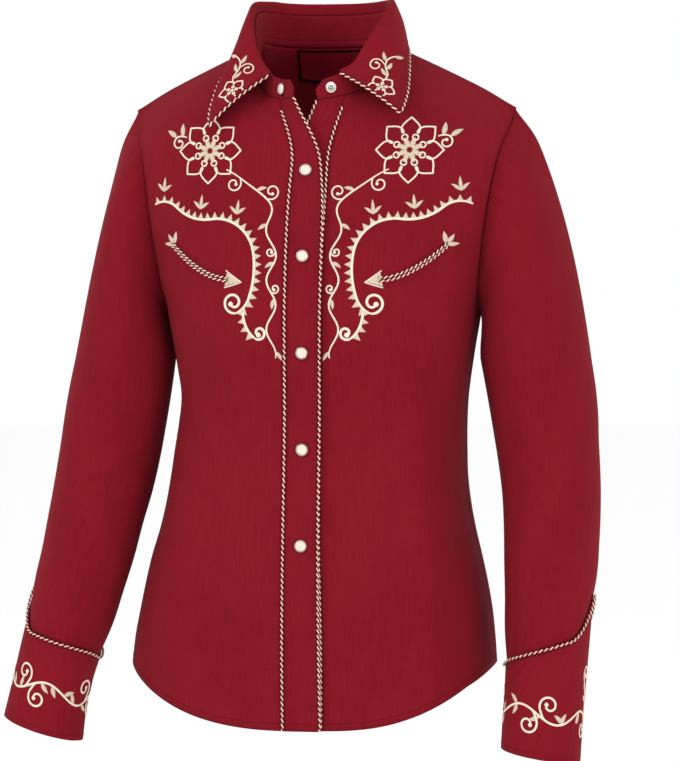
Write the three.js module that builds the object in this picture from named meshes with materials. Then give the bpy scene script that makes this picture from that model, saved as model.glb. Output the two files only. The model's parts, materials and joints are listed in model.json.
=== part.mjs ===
// Western snap shirt, filled out as if worn. Millimetres, +Z up, front faces -Y.
// The origin is the middle of the neck at the height of the shoulder seams' upper ends.
// "right" and "left" are the wearer's: the wearer's right is on -X.

import * as THREE from 'three';

// Driving sizes
const CLOTH = 1.6;
const STIFF = 1.8;
const SEAM = 0.3;
const PIPING_R = 1.3;
const SNAP_R = 5.75;
const SNAP_H = 2.6;
const SNAP_HEIGHTS = [-120, -200, -290, -380, -469];
const SHOULDER_TIP = { x: 187, y: 8, z: -57 };
const NECK_SIDE = { x: 61, y: 4, z: 3 };
const UNDERARM_Z = -256;
const YOKE_Z = -115;
const HEM_SIDE_Z = -587;
const HEM_FRONT_Z = -642;
const HEM_BACK_Z = -650;
const HEM_CURVE = 2.9;
const FRONT_SQUARE = 2.25;
const BACK_SQUARE = 2.4;
const LAP_DEPTH = 5.4;
const ELBOW_TOP_Z = -300;
const STAND_BACK = 31;
const STAND_FRONT = 18;
const STAND_LOW = 35;
const LABEL = { width: 66, height: 33, thick: 0.8, x: -2 };
const LEAF_START = 1.5;
const LEAF_END = 13;
const TIP_ROOM = 1.5;

// Grid counts
const TOP_ROWS = 5;
const ARM_ROWS = 6;
const BODY_ROWS = 13;
const NECK_COLS = 4;
const SHOULDER_COLS = 6;
const BACK_NECK_COLS = 8;
const BAND_COLS = 3;
const CAP_ROWS = 8;
const SLEEVE_ROWS = 9;
const CUFF_ROWS = 3;

// Body sections: half width on the wearer's right and left, depth in front and behind,
// and the angle where the armhole cuts the front and the back
const BODY = [
  { z: -115, right: 180, left: 182, front: 94, back: 82, armFront: 69, armBack: 73 },
  { z: -150, right: 176, left: 177, front: 104, back: 90, armFront: 67.5, armBack: 71 },
  { z: -190, right: 167, left: 168, front: 111, back: 93, armFront: 70, armBack: 72 },
  { z: -225, right: 157, left: 158, front: 115, back: 91, armFront: 76, armBack: 77 },
  { z: -244, right: 152, left: 153, front: 116.5, back: 88.5, armFront: 82, armBack: 82 },
  { z: -256, right: 149, left: 151, front: 117, back: 87, armFront: 90, armBack: 90 },
  { z: -300, right: 141.2, left: 143.9, front: 116, back: 80, armFront: 90, armBack: 90 },
  { z: -338, right: 136.1, left: 139.2, front: 114, back: 76, armFront: 90, armBack: 90 },
  { z: -376, right: 142.3, left: 138.2, front: 115, back: 80, armFront: 90, armBack: 90 },
  { z: -415, right: 149, left: 139.2, front: 118, back: 88, armFront: 90, armBack: 90 },
  { z: -453, right: 156.7, left: 144.7, front: 121, back: 97, armFront: 90, armBack: 90 },
  { z: -492, right: 167.5, left: 153.5, front: 123, back: 106, armFront: 90, armBack: 90 },
  { z: -530, right: 175.5, left: 161, front: 124, back: 113, armFront: 90, armBack: 90 },
  { z: -568, right: 182.7, left: 165.2, front: 124, back: 117, armFront: 90, armBack: 90 },
  { z: -600, right: 186, left: 167, front: 123, back: 119, armFront: 90, armBack: 90 },
  { z: -670, right: 190, left: 169, front: 120, back: 121, armFront: 90, armBack: 90 },
];

// Where the snap bands lie across the front: seam to the front panel, and free edge
const BANDS = [
  { z: -115, rightSeam: -13, rightEdge: 12, leftSeam: 19, leftEdge: -11 },
  { z: -150, rightSeam: -14.5, rightEdge: 15.5, leftSeam: 18.5, leftEdge: -13 },
  { z: -200, rightSeam: -15.5, rightEdge: 15.5, leftSeam: 17, leftEdge: -13.5 },
  { z: -300, rightSeam: -16, rightEdge: 14.5, leftSeam: 15.5, leftEdge: -14 },
  { z: -450, rightSeam: -16.5, rightEdge: 14, leftSeam: 15.5, leftEdge: -14 },
  { z: -560, rightSeam: -17, rightEdge: 15, leftSeam: 18, leftEdge: -13 },
  { z: -670, rightSeam: -17, rightEdge: 16.5, leftSeam: 17.5, leftEdge: -13 },
];

// Neck seam from the right free end round the back to the left free end
const NECK = [
  { x: -15, y: -87, z: -52 },
  { x: -31, y: -66, z: -52 },
  { x: -50, y: -47, z: -43 },
  { x: -60, y: -20, z: -20 },
  { x: -61, y: 4, z: 3 },
  { x: -53, y: 30, z: 3 },
  { x: -31, y: 47, z: 2 },
  { x: -1, y: 54, z: 2 },
  { x: 29, y: 47, z: 2 },
  { x: 51, y: 30, z: 3 },
  { x: 61, y: 4, z: 3 },
  { x: 58, y: -22, z: -18 },
  { x: 47, y: -46, z: -40 },
  { x: 32, y: -63, z: -48 },
  { x: 8, y: -76, z: -54 },
];

// Free edge of the collar leaf, from the right point round the back to the left point
const LEAF_EDGE = [
  { at: 0, x: -95, y: -84, z: -75 },
  { at: 0.1, x: -96, y: -60, z: -50 },
  { at: 0.17, x: -91, y: -33, z: -24 },
  { at: 0.24, x: -78, y: -5, z: 0 },
  { at: 0.34, x: -65, y: 44, z: 3 },
  { at: 0.5, x: 0, y: 71, z: -8 },
  { at: 0.66, x: 67, y: 46, z: 1 },
  { at: 0.78, x: 84, y: -13, z: -2.5 },
  { at: 0.9, x: 90, y: -63, z: -44 },
  { at: 1, x: 87, y: -87, z: -64 },
];

// Sleeve sections: centre, half width across and half depth fore and aft
const SLEEVE_RIGHT = [
  { z: -300, x: 193, y: -8, wide: 46.7, deep: 58 },
  { z: -338, x: 199.2, y: -10, wide: 48, deep: 56 },
  { z: -376, x: 205, y: -12, wide: 47.6, deep: 54 },
  { z: -415, x: 211.6, y: -15, wide: 47, deep: 52 },
  { z: -453, x: 219.8, y: -20, wide: 45, deep: 50 },
  { z: -492, x: 227.7, y: -26, wide: 43.6, deep: 48 },
  { z: -530, x: 237.3, y: -33, wide: 42.2, deep: 46 },
  { z: -568, x: 246.7, y: -40, wide: 40.6, deep: 43.5 },
  { z: -607, x: 256.5, y: -47, wide: 38.6, deep: 41 },
  { z: -645, x: 263.5, y: -54, wide: 39.6, deep: 39.5 },
  { z: -683, x: 268.5, y: -60, wide: 42.5, deep: 39 },
];
const SLEEVE_LEFT = [
  { z: -300, x: 205.5, y: -5, wide: 51, deep: 58 },
  { z: -338, x: 212, y: -8, wide: 50, deep: 56 },
  { z: -376, x: 216.5, y: -14, wide: 47.3, deep: 54 },
  { z: -415, x: 221.5, y: -22, wide: 45.3, deep: 52 },
  { z: -453, x: 223.5, y: -31, wide: 43.9, deep: 50 },
  { z: -492, x: 223.6, y: -40, wide: 42.3, deep: 48 },
  { z: -530, x: 223.4, y: -49, wide: 40.2, deep: 46 },
  { z: -568, x: 222.6, y: -58, wide: 38.8, deep: 43.5 },
  { z: -607, x: 221, y: -66, wide: 37.8, deep: 41 },
  { z: -645, x: 219, y: -73, wide: 37.6, deep: 39.5 },
  { z: -690, x: 217.5, y: -80, wide: 37.2, deep: 39 },
];

// Cuffs: height of the seam on the inner side, its rise to the outer peak, and the lower edge
const CUFFS = {
  right: { inner: -585, rise: 36, peak: 29, end: -651, slope: 12 },
  left: { inner: -583, rise: 36, peak: 30, end: -664, slope: -6 },
};
const CUFF_LAP = { station: 16, cols: 2, depth: 2.5 };

// Soft folds: centre x, upper and lower end, height and half width, on the front or back
const FOLDS = [
  { side: 'front', x: -112, top: -300, bottom: -600, high: 3, half: 20 },
  { side: 'front', x: -66, top: -330, bottom: -640, high: 2, half: 16 },
  { side: 'front', x: 104, top: -290, bottom: -580, high: 3, half: 20 },
  { side: 'front', x: 60, top: -340, bottom: -640, high: 2, half: 15 },
  { side: 'back', x: -70, top: -270, bottom: -640, high: 3.5, half: 22 },
  { side: 'back', x: -20, top: -260, bottom: -560, high: 2.5, half: 18 },
  { side: 'back', x: 46, top: -280, bottom: -650, high: 3.5, half: 22 },
  { side: 'back', x: 98, top: -300, bottom: -600, high: 3, half: 18 },
];
const BUST = { x: 84, z: -226, high: 6, wide: 48, tall: 60 };

// Smile pockets: outer and inner end, measured from the middle of the front
const POCKET = { outer: 130, inner: 71, outerZ: -189, innerZ: -222, curve: 1.8 };

// Vectors and tables
const vec = (x, y, z) => new THREE.Vector3(x, y, z);
const UP = vec(0, 0, 1);
const plus = (p, d, k = 1) => p.clone().addScaledVector(d, k);
const unit = (v) => v.clone().normalize();
const mix = (a, b, t) => a + (b - a) * t;
const clamp = (v, a, b) => Math.min(b, Math.max(a, v));
const smooth = (t) => {
  const c = clamp(t, 0, 1);
  return c * c * (3 - 2 * c);
};

function curve(values, at, i, t) {
  const n = values.length;
  const a = Math.max(i - 1, 0);
  const b = Math.min(i + 2, n - 1);
  const h = at[i + 1] - at[i];
  const m0 = (values[i + 1] - values[a]) / (at[i + 1] - at[a]);
  const m1 = (values[b] - values[i]) / (at[b] - at[i]);
  const t2 = t * t;
  const t3 = t2 * t;
  return (2 * t3 - 3 * t2 + 1) * values[i] + (t3 - 2 * t2 + t) * h * m0
    + (3 * t2 - 2 * t3) * values[i + 1] + (t3 - t2) * h * m1;
}

function read(table, key, col, value) {
  const sign = table[0][key] < table[table.length - 1][key] ? 1 : -1;
  const at = table.map((row) => row[key] * sign);
  const v = clamp(value * sign, at[0], at[at.length - 1]);
  let i = 0;
  while (i < at.length - 2 && v > at[i + 1]) {
    i += 1;
  }
  const t = (v - at[i]) / (at[i + 1] - at[i]);
  return curve(table.map((row) => row[col]), at, i, t);
}

const neckRows = NECK.map((row, i) => ({ ...row, at: i }));
const neckAt = (s) => vec(read(neckRows, 'at', 'x', s), read(neckRows, 'at', 'y', s),
  read(neckRows, 'at', 'z', s));

// Front and back surface of the body
function foldsAt(side, x, z) {
  let sum = 0;
  for (const f of FOLDS) {
    if (f.side === side) {
      const along = clamp((f.top - z) / (f.top - f.bottom), 0, 1);
      const across = (x - f.x) / f.half;
      sum += f.high * Math.sin(Math.PI * along) ** 2 * Math.exp(-across * across);
    }
  }
  return sum;
}

function bustAt(x, z) {
  const dx = (Math.abs(x) - BUST.x) / BUST.wide;
  const dz = (z - BUST.z) / BUST.tall;
  return BUST.high * Math.exp(-dx * dx - dz * dz);
}

const lapAt = (x) => (LAP_DEPTH / 2) * (1 - smooth((Math.abs(x) - 20) / 60));
const widthAt = (x, z) => read(BODY, 'z', x < 0 ? 'right' : 'left', z);

function frontAt(x, z, under) {
  const r = clamp(Math.abs(x) / widthAt(x, z), 0, 1);
  const g = (1 - r ** FRONT_SQUARE) ** (1 / FRONT_SQUARE);
  const lift = g * (bustAt(x, z) + foldsAt('front', x, z));
  const lap = under ? lapAt(x) : -lapAt(x);
  return vec(x, -read(BODY, 'z', 'front', z) * g - lift + lap, z);
}

function backAt(x, z) {
  const r = clamp(Math.abs(x) / widthAt(x, z), 0, 1);
  const g = (1 - r ** BACK_SQUARE) ** (1 / BACK_SQUARE);
  return vec(x, (read(BODY, 'z', 'back', z) + foldsAt('back', x, z)) * g, z);
}

function shoulderAt(sign, t) {
  const x = mix(NECK_SIDE.x, SHOULDER_TIP.x, t);
  const y = mix(NECK_SIDE.y, SHOULDER_TIP.y, t);
  return vec(sign * x, y, mix(NECK_SIDE.z, SHOULDER_TIP.z, t ** 1.08));
}

const hemAt = (centre, ratio) => mix(centre, HEM_SIDE_Z, Math.abs(ratio) ** HEM_CURVE);

// Heights of the rows below the yoke line for a column that ends at the given hem height
function rowHeights(hem) {
  const rows = [];
  for (let i = 0; i <= ARM_ROWS; i += 1) {
    rows.push(mix(YOKE_Z, UNDERARM_Z, i / ARM_ROWS));
  }
  for (let i = 1; i <= BODY_ROWS; i += 1) {
    rows.push(mix(UNDERARM_Z, hem, i / BODY_ROWS));
  }
  return rows;
}

// A column from its point on the neck or shoulder down to the hem
function column(top, place, hem, forward) {
  const start = place(YOKE_Z);
  const below = place(YOKE_Z - 1);
  const reach = start.distanceTo(top);
  const leave = unit(plus(unit(start.clone().sub(top)), forward));
  const arrive = unit(below.clone().sub(start));
  const points = [];
  for (let i = 0; i < TOP_ROWS; i += 1) {
    const t = i / TOP_ROWS;
    const t2 = t * t;
    const t3 = t2 * t;
    const p = vec(0, 0, 0);
    p.addScaledVector(top, 2 * t3 - 3 * t2 + 1);
    p.addScaledVector(leave, (t3 - 2 * t2 + t) * reach);
    p.addScaledVector(start, 3 * t2 - 2 * t3);
    p.addScaledVector(arrive, (t3 - t2) * reach);
    points.push(p);
  }
  for (const z of rowHeights(hem)) {
    points.push(place(z));
  }
  return points;
}

const turn = (columns) => columns[0].map((_, r) => columns.map((c) => c[r]));

function frontPanel(sign) {
  const under = sign > 0;
  const seam = sign < 0 ? 'rightSeam' : 'leftSeam';
  const columns = [];
  const cols = NECK_COLS + SHOULDER_COLS;
  for (let c = 0; c <= cols; c += 1) {
    const u = c / cols;
    const onNeck = c <= NECK_COLS;
    const s = sign < 0 ? mix(1, 4, c / NECK_COLS) : mix(13, 10, c / NECK_COLS);
    const t = (c - NECK_COLS) / SHOULDER_COLS;
    const top = onNeck ? neckAt(s) : shoulderAt(sign, t);
    const push = onNeck ? mix(0.1, 0.9, c / NECK_COLS) : mix(0.9, 0.1, t ** 3);
    const place = (z) => {
      const wide = read(BODY, 'z', sign < 0 ? 'right' : 'left', z);
      const inner = Math.asin((sign * read(BANDS, 'z', seam, z)) / wide);
      const outer = THREE.MathUtils.degToRad(Math.min(90, read(BODY, 'z', 'armFront', z)));
      const angle = mix(inner, z <= UNDERARM_Z ? Math.PI / 2 : outer, u);
      return frontAt(sign * wide * Math.sin(angle), z, under);
    };
    const hem = hemAt(HEM_FRONT_Z, Math.sin(mix(0.09, Math.PI / 2, u)));
    columns.push(column(top, place, hem, vec(0, -push, 0)));
  }
  return turn(columns);
}

function band(sign) {
  const under = sign > 0;
  const seam = sign < 0 ? 'rightSeam' : 'leftSeam';
  const edge = sign < 0 ? 'rightEdge' : 'leftEdge';
  const columns = [];
  for (let c = 0; c <= BAND_COLS; c += 1) {
    const u = c / BAND_COLS;
    const s = sign < 0 ? mix(0, 1, u) : mix(14, 13, u);
    const place = (z) => {
      const a = read(BANDS, 'z', edge, z);
      const b = read(BANDS, 'z', seam, z);
      return frontAt(mix(a, b, u), z, under);
    };
    columns.push(column(neckAt(s), place, HEM_FRONT_Z, vec(0, -0.1, 0)));
  }
  return turn(columns);
}

function backPanel() {
  const half = SHOULDER_COLS + BACK_NECK_COLS / 2;
  const columns = [];
  for (let c = -half; c <= half; c += 1) {
    const sign = Math.sign(c) || 1;
    const u = Math.abs(c) / half;
    const onNeck = Math.abs(c) <= BACK_NECK_COLS / 2;
    const t = (Math.abs(c) - BACK_NECK_COLS / 2) / SHOULDER_COLS;
    const top = onNeck ? neckAt(7 + (c * 3) / (BACK_NECK_COLS / 2)) : shoulderAt(sign, t);
    const push = onNeck ? mix(0.2, 0.9, Math.abs(c) / (BACK_NECK_COLS / 2)) : mix(0.9, 0.1, t ** 3);
    const place = (z) => {
      const wide = read(BODY, 'z', sign < 0 ? 'right' : 'left', z);
      const outer = THREE.MathUtils.degToRad(Math.min(90, read(BODY, 'z', 'armBack', z)));
      const angle = u * (z <= UNDERARM_Z ? Math.PI / 2 : outer);
      return backAt(sign * wide * Math.sin(angle), z);
    };
    const hem = hemAt(HEM_BACK_Z, Math.sin((u * Math.PI) / 2));
    columns.push(column(top, place, hem, vec(0, push, 0)));
  }
  return turn(columns);
}

// Outward normals of a grid of points
function normals(grid, closed, sign) {
  const rows = grid.length;
  const cols = grid[0].length;
  return grid.map((row, r) => row.map((p, c) => {
    const a = grid[Math.max(r - 1, 0)][c];
    const b = grid[Math.min(r + 1, rows - 1)][c];
    const d = closed ? row[(c + cols - 1) % cols] : row[Math.max(c - 1, 0)];
    const e = closed ? row[(c + 1) % cols] : row[Math.min(c + 1, cols - 1)];
    return unit(b.clone().sub(a).cross(e.clone().sub(d))).multiplyScalar(sign);
  }));
}

// A closed wall from outer points and the direction of its thickness at each
function wall(outer, inner, closed) {
  const rows = outer.length;
  const cols = outer[0].length;
  const points = [...outer.flat(), ...inner.flat()];
  const faces = [];
  const at = (r, c, side) => side * rows * cols + r * cols + (c % cols);
  const quad = (a, b, c, d) => {
    faces.push(a, b, c, a, c, d);
  };
  const spans = closed ? cols : cols - 1;
  for (let r = 0; r < rows - 1; r += 1) {
    for (let c = 0; c < spans; c += 1) {
      quad(at(r, c, 0), at(r + 1, c, 0), at(r + 1, c + 1, 0), at(r, c + 1, 0));
      quad(at(r, c, 1), at(r, c + 1, 1), at(r + 1, c + 1, 1), at(r + 1, c, 1));
    }
  }
  for (let c = 0; c < spans; c += 1) {
    quad(at(0, c, 1), at(0, c, 0), at(0, c + 1, 0), at(0, c + 1, 1));
    quad(at(rows - 1, c, 0), at(rows - 1, c, 1), at(rows - 1, c + 1, 1), at(rows - 1, c + 1, 0));
  }
  if (!closed) {
    for (let r = 0; r < rows - 1; r += 1) {
      quad(at(r, 0, 0), at(r, 0, 1), at(r + 1, 0, 1), at(r + 1, 0, 0));
      quad(at(r, cols - 1, 1), at(r, cols - 1, 0), at(r + 1, cols - 1, 0), at(r + 1, cols - 1, 1));
    }
  }
  return meshFrom(points, outward(points, faces));
}

// Turns faces that point inwards
function outward(points, faces) {
  let volume = 0;
  for (let i = 0; i < faces.length; i += 3) {
    const [a, b, c] = [points[faces[i]], points[faces[i + 1]], points[faces[i + 2]]];
    volume += a.dot(b.clone().cross(c));
  }
  if (volume > 0) {
    return faces;
  }
  const turned = [];
  for (let i = 0; i < faces.length; i += 3) {
    turned.push(faces[i], faces[i + 2], faces[i + 1]);
  }
  return turned;
}

function meshFrom(points, faces) {
  const geometry = new THREE.BufferGeometry();
  const flat = points.flatMap((p) => [p.x, p.y, p.z]);
  geometry.setAttribute('position', new THREE.Float32BufferAttribute(flat, 3));
  geometry.setIndex(faces);
  return geometry;
}

const inset = (grid, norms, thick) => grid.map((row, r) => row.map((p, c) => plus(p, norms[r][c], -thick)));

// A round cord along a path
function cord(path, radius, closed, sides = 6) {
  const n = path.length;
  const points = [];
  const faces = [];
  const tangent = (i) => {
    const a = closed ? path[(i + n - 1) % n] : path[Math.max(i - 1, 0)];
    const b = closed ? path[(i + 1) % n] : path[Math.min(i + 1, n - 1)];
    return unit(b.clone().sub(a));
  };
  let side = unit(vec(0.31, -0.89, 0.33).cross(tangent(0)));
  for (let i = 0; i < n; i += 1) {
    const t = tangent(i);
    side = unit(plus(side, t, -side.dot(t)));
    const other = t.clone().cross(side);
    for (let k = 0; k < sides; k += 1) {
      const angle = (2 * Math.PI * k) / sides;
      const out = side.clone().multiplyScalar(Math.cos(angle)).addScaledVector(other, Math.sin(angle));
      points.push(plus(path[i], out, radius));
    }
  }
  let shift = 0;
  if (closed) {
    let best = Infinity;
    for (let k = 0; k < sides; k += 1) {
      const far = points[(n - 1) * sides].distanceTo(points[k]);
      if (far < best) {
        best = far;
        shift = k;
      }
    }
  }
  const rings = closed ? n : n - 1;
  for (let i = 0; i < rings; i += 1) {
    const last = i === n - 1;
    for (let k = 0; k < sides; k += 1) {
      const a = i * sides + k;
      const b = i * sides + ((k + 1) % sides);
      const c = last ? (k + 1 + shift) % sides : (i + 1) * sides + ((k + 1) % sides);
      const d = last ? (k + shift) % sides : (i + 1) * sides + k;
      faces.push(a, b, c, a, c, d);
    }
  }
  if (!closed) {
    points.push(path[0].clone(), path[n - 1].clone());
    for (let k = 0; k < sides; k += 1) {
      const next = (k + 1) % sides;
      faces.push(n * sides, next, k);
      faces.push(n * sides + 1, (n - 1) * sides + k, (n - 1) * sides + next);
    }
  }
  return meshFrom(points, outward(points, faces));
}

// A turned solid: profile of radius and height from the axis out and back to the axis
function turned(profile, sides, origin, axis) {
  const u = unit(axis.clone().cross(vec(0.12, 0.05, 0.99)));
  const v = axis.clone().cross(u);
  const points = [plus(origin, axis, profile[0].h)];
  const faces = [];
  const rings = profile.slice(1, -1);
  for (const ring of rings) {
    for (let k = 0; k < sides; k += 1) {
      const angle = (2 * Math.PI * k) / sides;
      const p = plus(origin, axis, ring.h);
      p.addScaledVector(u, ring.r * Math.cos(angle)).addScaledVector(v, ring.r * Math.sin(angle));
      points.push(p);
    }
  }
  points.push(plus(origin, axis, profile[profile.length - 1].h));
  const top = points.length - 1;
  for (let k = 0; k < sides; k += 1) {
    const next = (k + 1) % sides;
    faces.push(0, 1 + next, 1 + k);
    faces.push(top, top - sides + k, top - sides + next);
    for (let i = 0; i < rings.length - 1; i += 1) {
      const a = 1 + i * sides + k;
      const b = 1 + i * sides + next;
      faces.push(a, b, b + sides, a, b + sides, a + sides);
    }
  }
  return meshFrom(points, outward(points, faces));
}

const SNAP_PROFILE = [
  { r: 0, h: 0 },
  { r: SNAP_R * 0.86, h: 0 },
  { r: SNAP_R, h: 0.6 },
  { r: SNAP_R, h: 1.4 },
  { r: SNAP_R * 0.84, h: 1.9 },
  { r: SNAP_R * 0.55, h: SNAP_H - 0.15 },
  { r: 0, h: SNAP_H },
];
const STUD_PROFILE = [
  { r: 0, h: 0 },
  { r: SNAP_R * 0.9, h: 0 },
  { r: SNAP_R * 0.9, h: 1 },
  { r: SNAP_R * 0.55, h: 1.2 },
  { r: SNAP_R * 0.42, h: 2.4 },
  { r: 0, h: 2.8 },
];

// Panels
const grids = {
  rightFront: frontPanel(-1),
  leftFront: frontPanel(1),
  rightBand: band(-1),
  leftBand: band(1),
  back: backPanel(),
};
const ARM = TOP_ROWS + ARM_ROWS;
const LAST = NECK_COLS + SHOULDER_COLS;
const signs = { rightFront: 1, leftFront: -1, rightBand: -1, leftBand: 1, back: -1 };
const norms = {};
for (const key of Object.keys(grids)) {
  norms[key] = normals(grids[key], false, signs[key]);
}

// Outward normals must point away from the body's middle
for (const key of Object.keys(grids)) {
  const mid = grids[key][20][1];
  const away = norms[key][20][1].dot(vec(mid.x, mid.y, 0));
  if (away < 0) {
    signs[key] *= -1;
    norms[key] = normals(grids[key], false, signs[key]);
  }
}

// Seams between a band and its front panel: shared direction, split gap
for (const side of ['right', 'left']) {
  const panel = `${side}Front`;
  const strip = `${side}Band`;
  grids[panel].forEach((row, r) => {
    const shared = unit(plus(norms[panel][r][0], norms[strip][r][BAND_COLS]));
    norms[panel][r][0] = shared;
    norms[strip][r][BAND_COLS] = shared.clone();
    const across = unit(grids[strip][r][0].clone().sub(grids[strip][r][BAND_COLS]));
    grids[panel][r][0] = plus(row[0], across, -SEAM / 2);
    grids[strip][r][BAND_COLS] = plus(grids[strip][r][BAND_COLS], across, SEAM / 2);
  });
}

// Neck seam directions, shared by the panels and the collar stand
function standUp(s) {
  const a = neckAt(Math.max(s - 0.05, 0));
  const b = neckAt(Math.min(s + 0.05, 14));
  const t = unit(b.clone().sub(a));
  const up = unit(plus(UP, t, -UP.dot(t)));
  const out = unit(t.clone().cross(up)).multiplyScalar(-1);
  const front = Math.abs(s - 7) / 7;
  const lean = mix(-0.06, 0.05, smooth((front - 0.45) / 0.5));
  return { t, up: unit(plus(up, out, -lean)), out };
}

function neckSeam(s, panelDown) {
  const { t, up } = standUp(s);
  const across = unit(plus(up, unit(panelDown), -1));
  const inward = unit(across.clone().cross(t));
  const middle = vec(0, -10, 0).sub(neckAt(s));
  if (inward.dot(vec(middle.x, middle.y, -40)) < 0) {
    inward.multiplyScalar(-1);
  }
  return { across, inward };
}

const stand = [];
function joinNeck(key, c, s) {
  const grid = grids[key];
  const down = grid[1][c].clone().sub(grid[0][c]);
  const { across, inward } = neckSeam(s, down);
  norms[key][0][c] = inward.clone().multiplyScalar(-1);
  return { s, across, inward, point: neckAt(s) };
}
for (let c = 0; c <= BAND_COLS; c += 1) {
  stand.push(joinNeck('rightBand', c, mix(0, 1, c / BAND_COLS)));
}
for (let c = 0; c <= NECK_COLS; c += 1) {
  const made = joinNeck('rightFront', c, mix(1, 4, c / NECK_COLS));
  if (c > 0) {
    stand.push(made);
  } else {
    norms.rightFront[0][0] = norms.rightBand[0][BAND_COLS].clone();
  }
}
for (let c = 0; c <= BACK_NECK_COLS; c += 1) {
  const k = SHOULDER_COLS + c;
  const made = joinNeck('back', k, mix(4, 10, c / BACK_NECK_COLS));
  if (c === 0) {
    norms.back[0][k] = norms.rightFront[0][NECK_COLS].clone();
  } else {
    stand.push(made);
  }
}
for (let c = NECK_COLS; c >= 0; c -= 1) {
  const made = joinNeck('leftFront', c, mix(13, 10, c / NECK_COLS));
  if (c === NECK_COLS) {
    norms.leftFront[0][c] = norms.back[0][SHOULDER_COLS + BACK_NECK_COLS].clone();
  } else {
    stand.push(made);
  }
}
for (let c = BAND_COLS; c >= 0; c -= 1) {
  const made = joinNeck('leftBand', c, mix(14, 13, c / BAND_COLS));
  if (c === BAND_COLS) {
    norms.leftBand[0][c] = norms.leftFront[0][0].clone();
  } else {
    stand.push(made);
  }
}

// Shoulder seams, side seams and armholes, shared by front, back and sleeve
const loops = {};
for (const side of ['right', 'left']) {
  const sign = side === 'right' ? -1 : 1;
  const front = grids[`${side}Front`];
  const fNorm = norms[`${side}Front`];
  const back = grids.back;
  const bNorm = norms.back;
  const edge = side === 'right' ? 0 : back[0].length - 1;
  const step = side === 'right' ? 1 : -1;
  for (let c = 1; c <= SHOULDER_COLS; c += 1) {
    const f = NECK_COLS + c;
    const b = edge + step * (SHOULDER_COLS - c);
    const shared = unit(plus(fNorm[0][f], bNorm[0][b]));
    shared.y = 0;
    shared.normalize();
    fNorm[0][f] = shared;
    bNorm[0][b] = shared.clone();
  }
  const loop = [];
  for (let r = 0; r <= ARM; r += 1) {
    for (const part of ['front', 'back']) {
      const grid = part === 'front' ? front : back;
      const c = part === 'front' ? LAST : edge;
      const before = part === 'front' ? LAST - 1 : edge + step;
      const a = grid[Math.max(r - 1, 0)][c];
      const b = grid[Math.min(r + 1, ARM)][c];
      loop.push({
        part,
        r,
        point: grid[r][c].clone(),
        tangent: unit(b.clone().sub(a)),
        out: unit(grid[r][c].clone().sub(grid[r][before])),
      });
    }
  }
  const fronts = loop.filter((p) => p.part === 'front');
  const backs = loop.filter((p) => p.part === 'back').slice(1, -1).reverse();
  const ring = [...fronts, ...backs];
  const n = ring.length;
  const length = [];
  let total = 0;
  for (let k = 0; k <= ARM; k += 1) {
    total += k ? fronts[k].point.distanceTo(fronts[k - 1].point) : 0;
    length.push(total);
  }
  const round = side === 'left' ? 0.5 : 0.3;
  ring.forEach((p, k) => {
    const frac = k <= ARM ? length[k] / total : 2 - length[n - k] / total;
    const theta = Math.PI * frac;
    const low = (1 - Math.cos(theta)) / 2;
    const wide = mix(round, 0.95, Math.sqrt(low));
    const drop = mix(0.92, 0.25, low);
    const leave = unit(vec(sign * wide, -0.35 * Math.sin(theta), -drop));
    const prev = ring[(k + n - 1) % n].point;
    const next = ring[(k + 1) % n].point;
    const tangent = unit(next.clone().sub(prev));
    const towards = k === 0 ? vec(sign * 0.9, 0, -0.43) : p.out;
    const nearBottom = smooth((1 - Math.abs(1 - frac) - 0.72) / 0.28);
    const out = unit(towards.clone().lerp(UP, nearBottom));
    let across = unit(plus(out, leave));
    across = unit(plus(across, tangent, -across.dot(tangent)));
    const inward = unit(across.clone().cross(tangent));
    const middle = vec(sign * 60, 0, -150).sub(p.point);
    if (inward.dot(middle) < 0) {
      inward.multiplyScalar(-1);
    }
    Object.assign(p, { theta, leave, across, inward });
  });
  for (let r = 0; r <= ARM; r += 1) {
    const f = ring[r];
    const b = r === 0 || r === ARM ? f : ring[n - r];
    fNorm[r][LAST] = f.inward.clone().multiplyScalar(-1);
    bNorm[r][edge] = b.inward.clone().multiplyScalar(-1);
  }
  for (let r = ARM + 1; r < front.length; r += 1) {
    fNorm[r][LAST] = vec(sign, 0, 0);
    bNorm[r][edge] = vec(sign, 0, 0);
  }
  // split the seams: shoulder row and side column move apart by half the gap
  for (let c = 0; c <= SHOULDER_COLS; c += 1) {
    front[0][NECK_COLS + c].y -= SEAM / 2;
    back[0][edge + step * (SHOULDER_COLS - c)].y += SEAM / 2;
  }
  for (let r = ARM; r < front.length; r += 1) {
    front[r][LAST].y -= SEAM / 2;
    back[r][edge].y += SEAM / 2;
  }
  loops[side] = ring;
}

// Sleeves and cuffs
function ringAt(table, sign, theta, z) {
  const x = read(table, 'z', 'x', z) + read(table, 'z', 'wide', z) * Math.cos(theta);
  const y = read(table, 'z', 'y', z) - read(table, 'z', 'deep', z) * Math.sin(theta);
  return vec(sign * x, y, z);
}

function cuffTop(cuff, theta) {
  const turnTo = Math.abs(Math.PI - theta) / Math.PI;
  const peak = clamp((turnTo - 0.76) / 0.24, 0, 1);
  return cuff.inner + cuff.rise * turnTo + cuff.peak * peak ** 1.15;
}

const cuffEnd = (cuff, theta) => cuff.end + cuff.slope * Math.cos(theta);

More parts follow.
